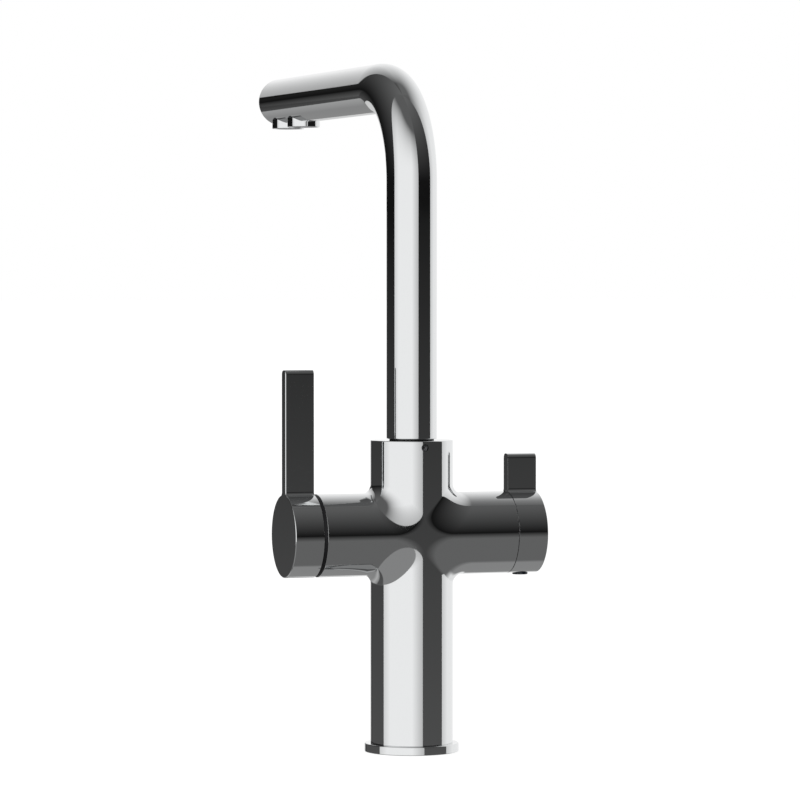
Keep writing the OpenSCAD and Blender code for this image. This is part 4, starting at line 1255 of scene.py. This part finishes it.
class TAP_OT_stage(bpy.types.Operator):
    """Camera, floor, white surroundings and the dark and light parts of a studio room"""

    bl_idname = "tap.stage"
    bl_label = "Stage"

    SENSOR = 36
    FAR = 200
    FLOOR_HALF = 40
    FLOOR_ROUGHNESS = 0.9
    FLOOR_GLOW = 0.8
    ROOM_R = 40
    ROOM_STEP = 2

    # Angles of the room's parts, in degrees: round the tap from the camera to its right
    PANEL = (-85, 31)
    RIGHT_WALL = (31, 94)
    BACK = (94, 180)
    LEFT_WALL = (-145.4, -85)
    SCREEN = (-180, -145.4)
    SCREEN_FOOT = -166
    SCREEN_SIDE = -159
    # Angles above the horizontal
    NADIR, ZENITH = -90, 90
    GROUND_TOP = -11
    HORIZON = 1.3
    SCREEN_LOW = 8.7
    WALL_FOOT, WALL_TOP = -12.2, 83.3
    SHADE_FOOT = -10.7
    PANEL_FULL, PANEL_TOP = 10, 66
    STRIP_LOW, STRIP_HIGH = -32, -24
    OVERHEAD, OVERHEAD_SPAN = 18, 54
    # Where the levels change round the tap
    PANEL_LEFT, PANEL_RIGHT = -63, 1
    PANEL_LEAN_FROM, PANEL_LEAN = -43, 0.26
    SCREEN_FAR = -172.4
    BACK_FAR = 118
    STRIP_FROM = 98
    LIGHT_AT, LIGHT_HALF = -138, 20
    DARK_AT, DARK_INNER, DARK_HALF = -102, 12, 17
    # Levels, where 1 is the white of the background
    WALL_BLACK, WALL_SHADE, WALL_GREY = 0.007, 0.014, 0.14
    FOOT_BLACK, FOOT_GREY = 0.010, 0.075
    SIDE_PALE = 0.66
    PANEL_LEFT_LEVEL, PANEL_RIGHT_LEVEL, PANEL_END = 0.75, 0.56, 0.12
    SCREEN_NEAR_LEVEL, SCREEN_FAR_LEVEL = 0.43, 0.94
    BACK_NEAR_LEVEL, BACK_FAR_LEVEL = 0.7, 0.95
    GROUND_GREY, GROUND_NEAR_WALL = 0.27, 0.14
    GROUND_LIGHT, GROUND_DARKER, GROUND_STRIP = 0.48, 0.18, 0.6
    OVERHEAD_LEFT, OVERHEAD_POWER = 0.15, 1.6

    def execute(self, context):
        stage = context.scene.tap_stage
        self.heading = stage.heading
        context.scene.view_settings.view_transform = "Standard"
        self.camera(context.scene, stage)
        self.sky(context.scene, stage)
        self.floor(stage)
        ground, horizon = self.GROUND_TOP, self.HORIZON
        self.patch("right_wall", self.RIGHT_WALL, (self.NADIR, horizon), self.dusk)
        self.patch("right_dome", self.RIGHT_WALL, (horizon, self.ZENITH), self.dusk)
        self.patch("panel", self.PANEL, (ground, self.ZENITH), self.panel)
        self.patch("left_wall", self.LEFT_WALL, (ground, horizon), self.dusk)
        self.patch("left_dome", self.LEFT_WALL, (horizon, self.ZENITH), self.dusk)
        far, near = self.SCREEN
        self.patch("screen_side", (far, self.SCREEN_SIDE), (ground, horizon), self.pale)
        self.patch("screen_ground", (self.SCREEN_SIDE, near), (ground, horizon), self.shade)
        self.patch("screen_foot", (self.SCREEN_FOOT, near), (horizon, self.SCREEN_LOW), self.shade)
        self.patch("screen", self.SCREEN, (self.SCREEN_LOW, self.ZENITH), self.screen)
        self.patch("back", self.BACK, (ground, self.ZENITH), self.back)
        self.patch("left_ground", (far, self.PANEL[1]), (self.NADIR, ground), self.ground)
        self.patch("back_ground", self.BACK, (self.NADIR, ground), self.ground)
        return {"FINISHED"}

    def dusk(self, around, above):
        """Dark wall: darkest at the horizon, lighter up and down from it"""
        if above < self.HORIZON:
            return ramp(above, self.HORIZON, self.WALL_FOOT, self.WALL_SHADE, self.WALL_GREY)
        return ramp(above, self.HORIZON, self.WALL_TOP, self.WALL_BLACK, self.WALL_GREY)

    def shade(self, around, above):
        """Foot of the pale screen, darker than the walls beside it"""
        return ramp(above, self.HORIZON, self.SHADE_FOOT, self.FOOT_BLACK, self.FOOT_GREY)

    def pale(self, around, above):
        """Pale strip under the far side of the screen"""
        return self.SIDE_PALE

    def panel(self, around, above):
        """White panel with soft sides that fades upwards, sooner at its right side"""
        left = ramp(around, self.PANEL[0], self.PANEL_LEFT, self.PANEL_LEFT_LEVEL, 1)
        right = ramp(around, self.PANEL[1], self.PANEL_RIGHT, self.PANEL_RIGHT_LEVEL, 1)
        top = self.PANEL_TOP - self.PANEL_LEAN * max(0, around - self.PANEL_LEAN_FROM)
        rise = max(0, (above - self.PANEL_FULL) / (top - self.PANEL_FULL))
        return mix(left * right, self.PANEL_END, rise ** 2)

    def screen(self, around, above):
        """Pale screen that gets lighter towards the far side"""
        near, far = self.SCREEN_NEAR_LEVEL, self.SCREEN_FAR_LEVEL
        return ramp(around, self.SCREEN[1], self.SCREEN_FAR, near, far) * self.overhead(above)

    def back(self, around, above):
        """White room behind the tap"""
        near, far = self.BACK_NEAR_LEVEL, self.BACK_FAR_LEVEL
        return ramp(around, self.BACK[0], self.BACK_FAR, near, far) * self.overhead(above)

    def ground(self, around, above):
        """Grey ground: lighter far behind and under the screen's edge, darker beside the walls"""
        if around > self.PANEL[1]:
            strip = ramp(around, self.STRIP_FROM, self.BACK_FAR, 0, self.GROUND_STRIP)
            strip *= ramp(above, self.STRIP_LOW, self.STRIP_HIGH, 0, 1)
            near, far = self.GROUND_NEAR_WALL, self.GROUND_GREY
            return ramp(around, self.BACK[0], self.BACK_FAR, near, far) + strip
        away = abs(around - self.LIGHT_AT)
        light = ramp(away, self.LIGHT_HALF, 0, self.GROUND_GREY, self.GROUND_LIGHT)
        away = abs(around - self.DARK_AT)
        return light - ramp(away, self.DARK_INNER, self.DARK_HALF, self.GROUND_DARKER, 0)

    def overhead(self, above):
        """Share of the room's light that is left high up"""
        rise = max(0, (above - self.OVERHEAD) / self.OVERHEAD_SPAN)
        return mix(1, self.OVERHEAD_LEFT, rise ** self.OVERHEAD_POWER)

    def patch(self, name, around, above, level):
        """One part of the room as a patch of a wide dome that only reflections see"""
        view = Vector((math.sin(self.heading), -math.cos(self.heading), 0))
        right = Vector((math.cos(self.heading), math.sin(self.heading), 0))
        columns = max(1, round((around[1] - around[0]) / self.ROOM_STEP))
        rows = max(1, round((above[1] - above[0]) / self.ROOM_STEP))
        points, levels, faces = [], [], []
        for i, a in enumerate(spaced(*around, columns)):
            way = view * math.cos(math.radians(a)) + right * math.sin(math.radians(a))
            for j, e in enumerate(spaced(*above, rows)):
                ray = way * math.cos(math.radians(e)) + Z_AXIS * math.sin(math.radians(e))
                points.append(tuple(ray * self.ROOM_R))
                levels.append(level(a, e))
                if i and j:
                    corner = i * (rows + 1) + j
                    faces.append((corner, corner - 1, corner - rows - 2, corner - rows - 1))
        mesh = bpy.data.meshes.new(name)
        mesh.from_pydata(points, [], faces)
        mesh.attributes.new("level", "FLOAT", "POINT").data.foreach_set("value", levels)
        mesh.materials.append(lit_card("room_light"))
        card = show(name, mesh)
        card.visible_camera = False
        card.visible_diffuse = False
        card.visible_shadow = False

    def camera(self, scene, stage):
        """Camera that sees the tap as the photograph does"""
        data = bpy.data.cameras.new("photo_camera")
        data.sensor_width = self.SENSOR
        data.lens = stage.lens
        data.clip_end = self.FAR
        camera = show("photo_camera", data)
        camera.location = stage.place
        camera.rotation_euler = (QUARTER - stage.tilt, 0, stage.heading)
        scene.camera = camera

    def sky(self, scene, stage):
        """White surroundings, softer where they light matt surfaces"""
        world = bpy.data.worlds.new("studio_sky")
        world.use_nodes = True
        tree = world.node_tree
        rays = tree.nodes.new("ShaderNodeLightPath").outputs
        seen = math_node(tree, "MAXIMUM", rays["Is Camera Ray"], rays["Is Glossy Ray"])
        seen = math_node(tree, "MAXIMUM", seen, rays["Is Transmission Ray"])
        rest = math_node(tree, "MULTIPLY", math_node(tree, "SUBTRACT", 1.0, seen), stage.soft_light)
        feed(tree, tree.nodes["Background"], {
            "Color": (1, 1, 1, 1), "Strength": math_node(tree, "ADD", seen, rest)})
        scene.world = world

    def floor(self, stage):
        """Pale floor that keeps the shadow and is white to the camera"""
        half = self.FLOOR_HALF
        mesh = bpy.data.meshes.new("floor")
        corners = [(-half, -half, 0), (half, -half, 0), (half, half, 0), (-half, half, 0)]
        mesh.from_pydata(corners, [], [(0, 1, 2, 3)])
        material, tree, shader = blank("pale_floor")
        feed(tree, shader, {
            "Base Color": opaque(stage.floor), "Roughness": self.FLOOR_ROUGHNESS, "Specular IOR Level": 0})
        plain = shader.outputs["BSDF"]
        white = add(tree, "ShaderNodeEmission", {"Strength": self.FLOOR_GLOW})
        both = add(tree, "ShaderNodeAddShader", {0: plain, 1: white.outputs["Emission"]})
        rays = tree.nodes.new("ShaderNodeLightPath").outputs
        pick = add(tree, "ShaderNodeMixShader", {
            "Fac": rays["Is Camera Ray"], 1: plain, 2: both.outputs["Shader"]})
        feed(tree, tree.nodes["Material Output"], {"Surface": pick.outputs["Shader"]})
        mesh.materials.append(material)
        plane = show("floor", mesh)
        plane.visible_glossy = False


class TAP_PT_panel(bpy.types.Panel):
    """The tap's pieces in the sidebar"""

    bl_idname = "TAP_PT_panel"
    bl_label = "Filter mixer tap"
    bl_space_type = "VIEW_3D"
    bl_region_type = "UI"
    bl_category = "Tap"

    def draw(self, context):
        for step in STEPS:
            self.layout.operator(step.bl_idname)
        for group in (context.scene.tap_sizes, context.scene.tap_finish, context.scene.tap_stage):
            box = self.layout.box()
            for label in group.__annotations__:
                box.prop(group, label)


GROUPS = {"tap_sizes": TapSizes, "tap_finish": TapFinish, "tap_stage": TapStage}
STEPS = (
    TAP_OT_body, TAP_OT_rings, TAP_OT_spout, TAP_OT_outlets, TAP_OT_lever, TAP_OT_knob, TAP_OT_inner,
    TAP_OT_stage,
)


def register():
    """Adds the tap's values, operators and panel"""
    for name, group in GROUPS.items():
        bpy.utils.register_class(group)
        setattr(bpy.types.Scene, name, PointerProperty(type=group))
    for step in STEPS:
        bpy.utils.register_class(step)
    bpy.utils.register_class(TAP_PT_panel)


def unregister():
    """Takes them away again"""
    bpy.utils.unregister_class(TAP_PT_panel)
    for step in reversed(STEPS):
        bpy.utils.unregister_class(step)
    for name, group in GROUPS.items():
        delattr(bpy.types.Scene, name)
        bpy.utils.unregister_class(group)


def main():
    """Makes every piece and the stage"""
    register()
    for step in STEPS:
        family, label = step.bl_idname.split(".")
        getattr(getattr(bpy.ops, family), label)()


if __name__ == "__main__":
    main()
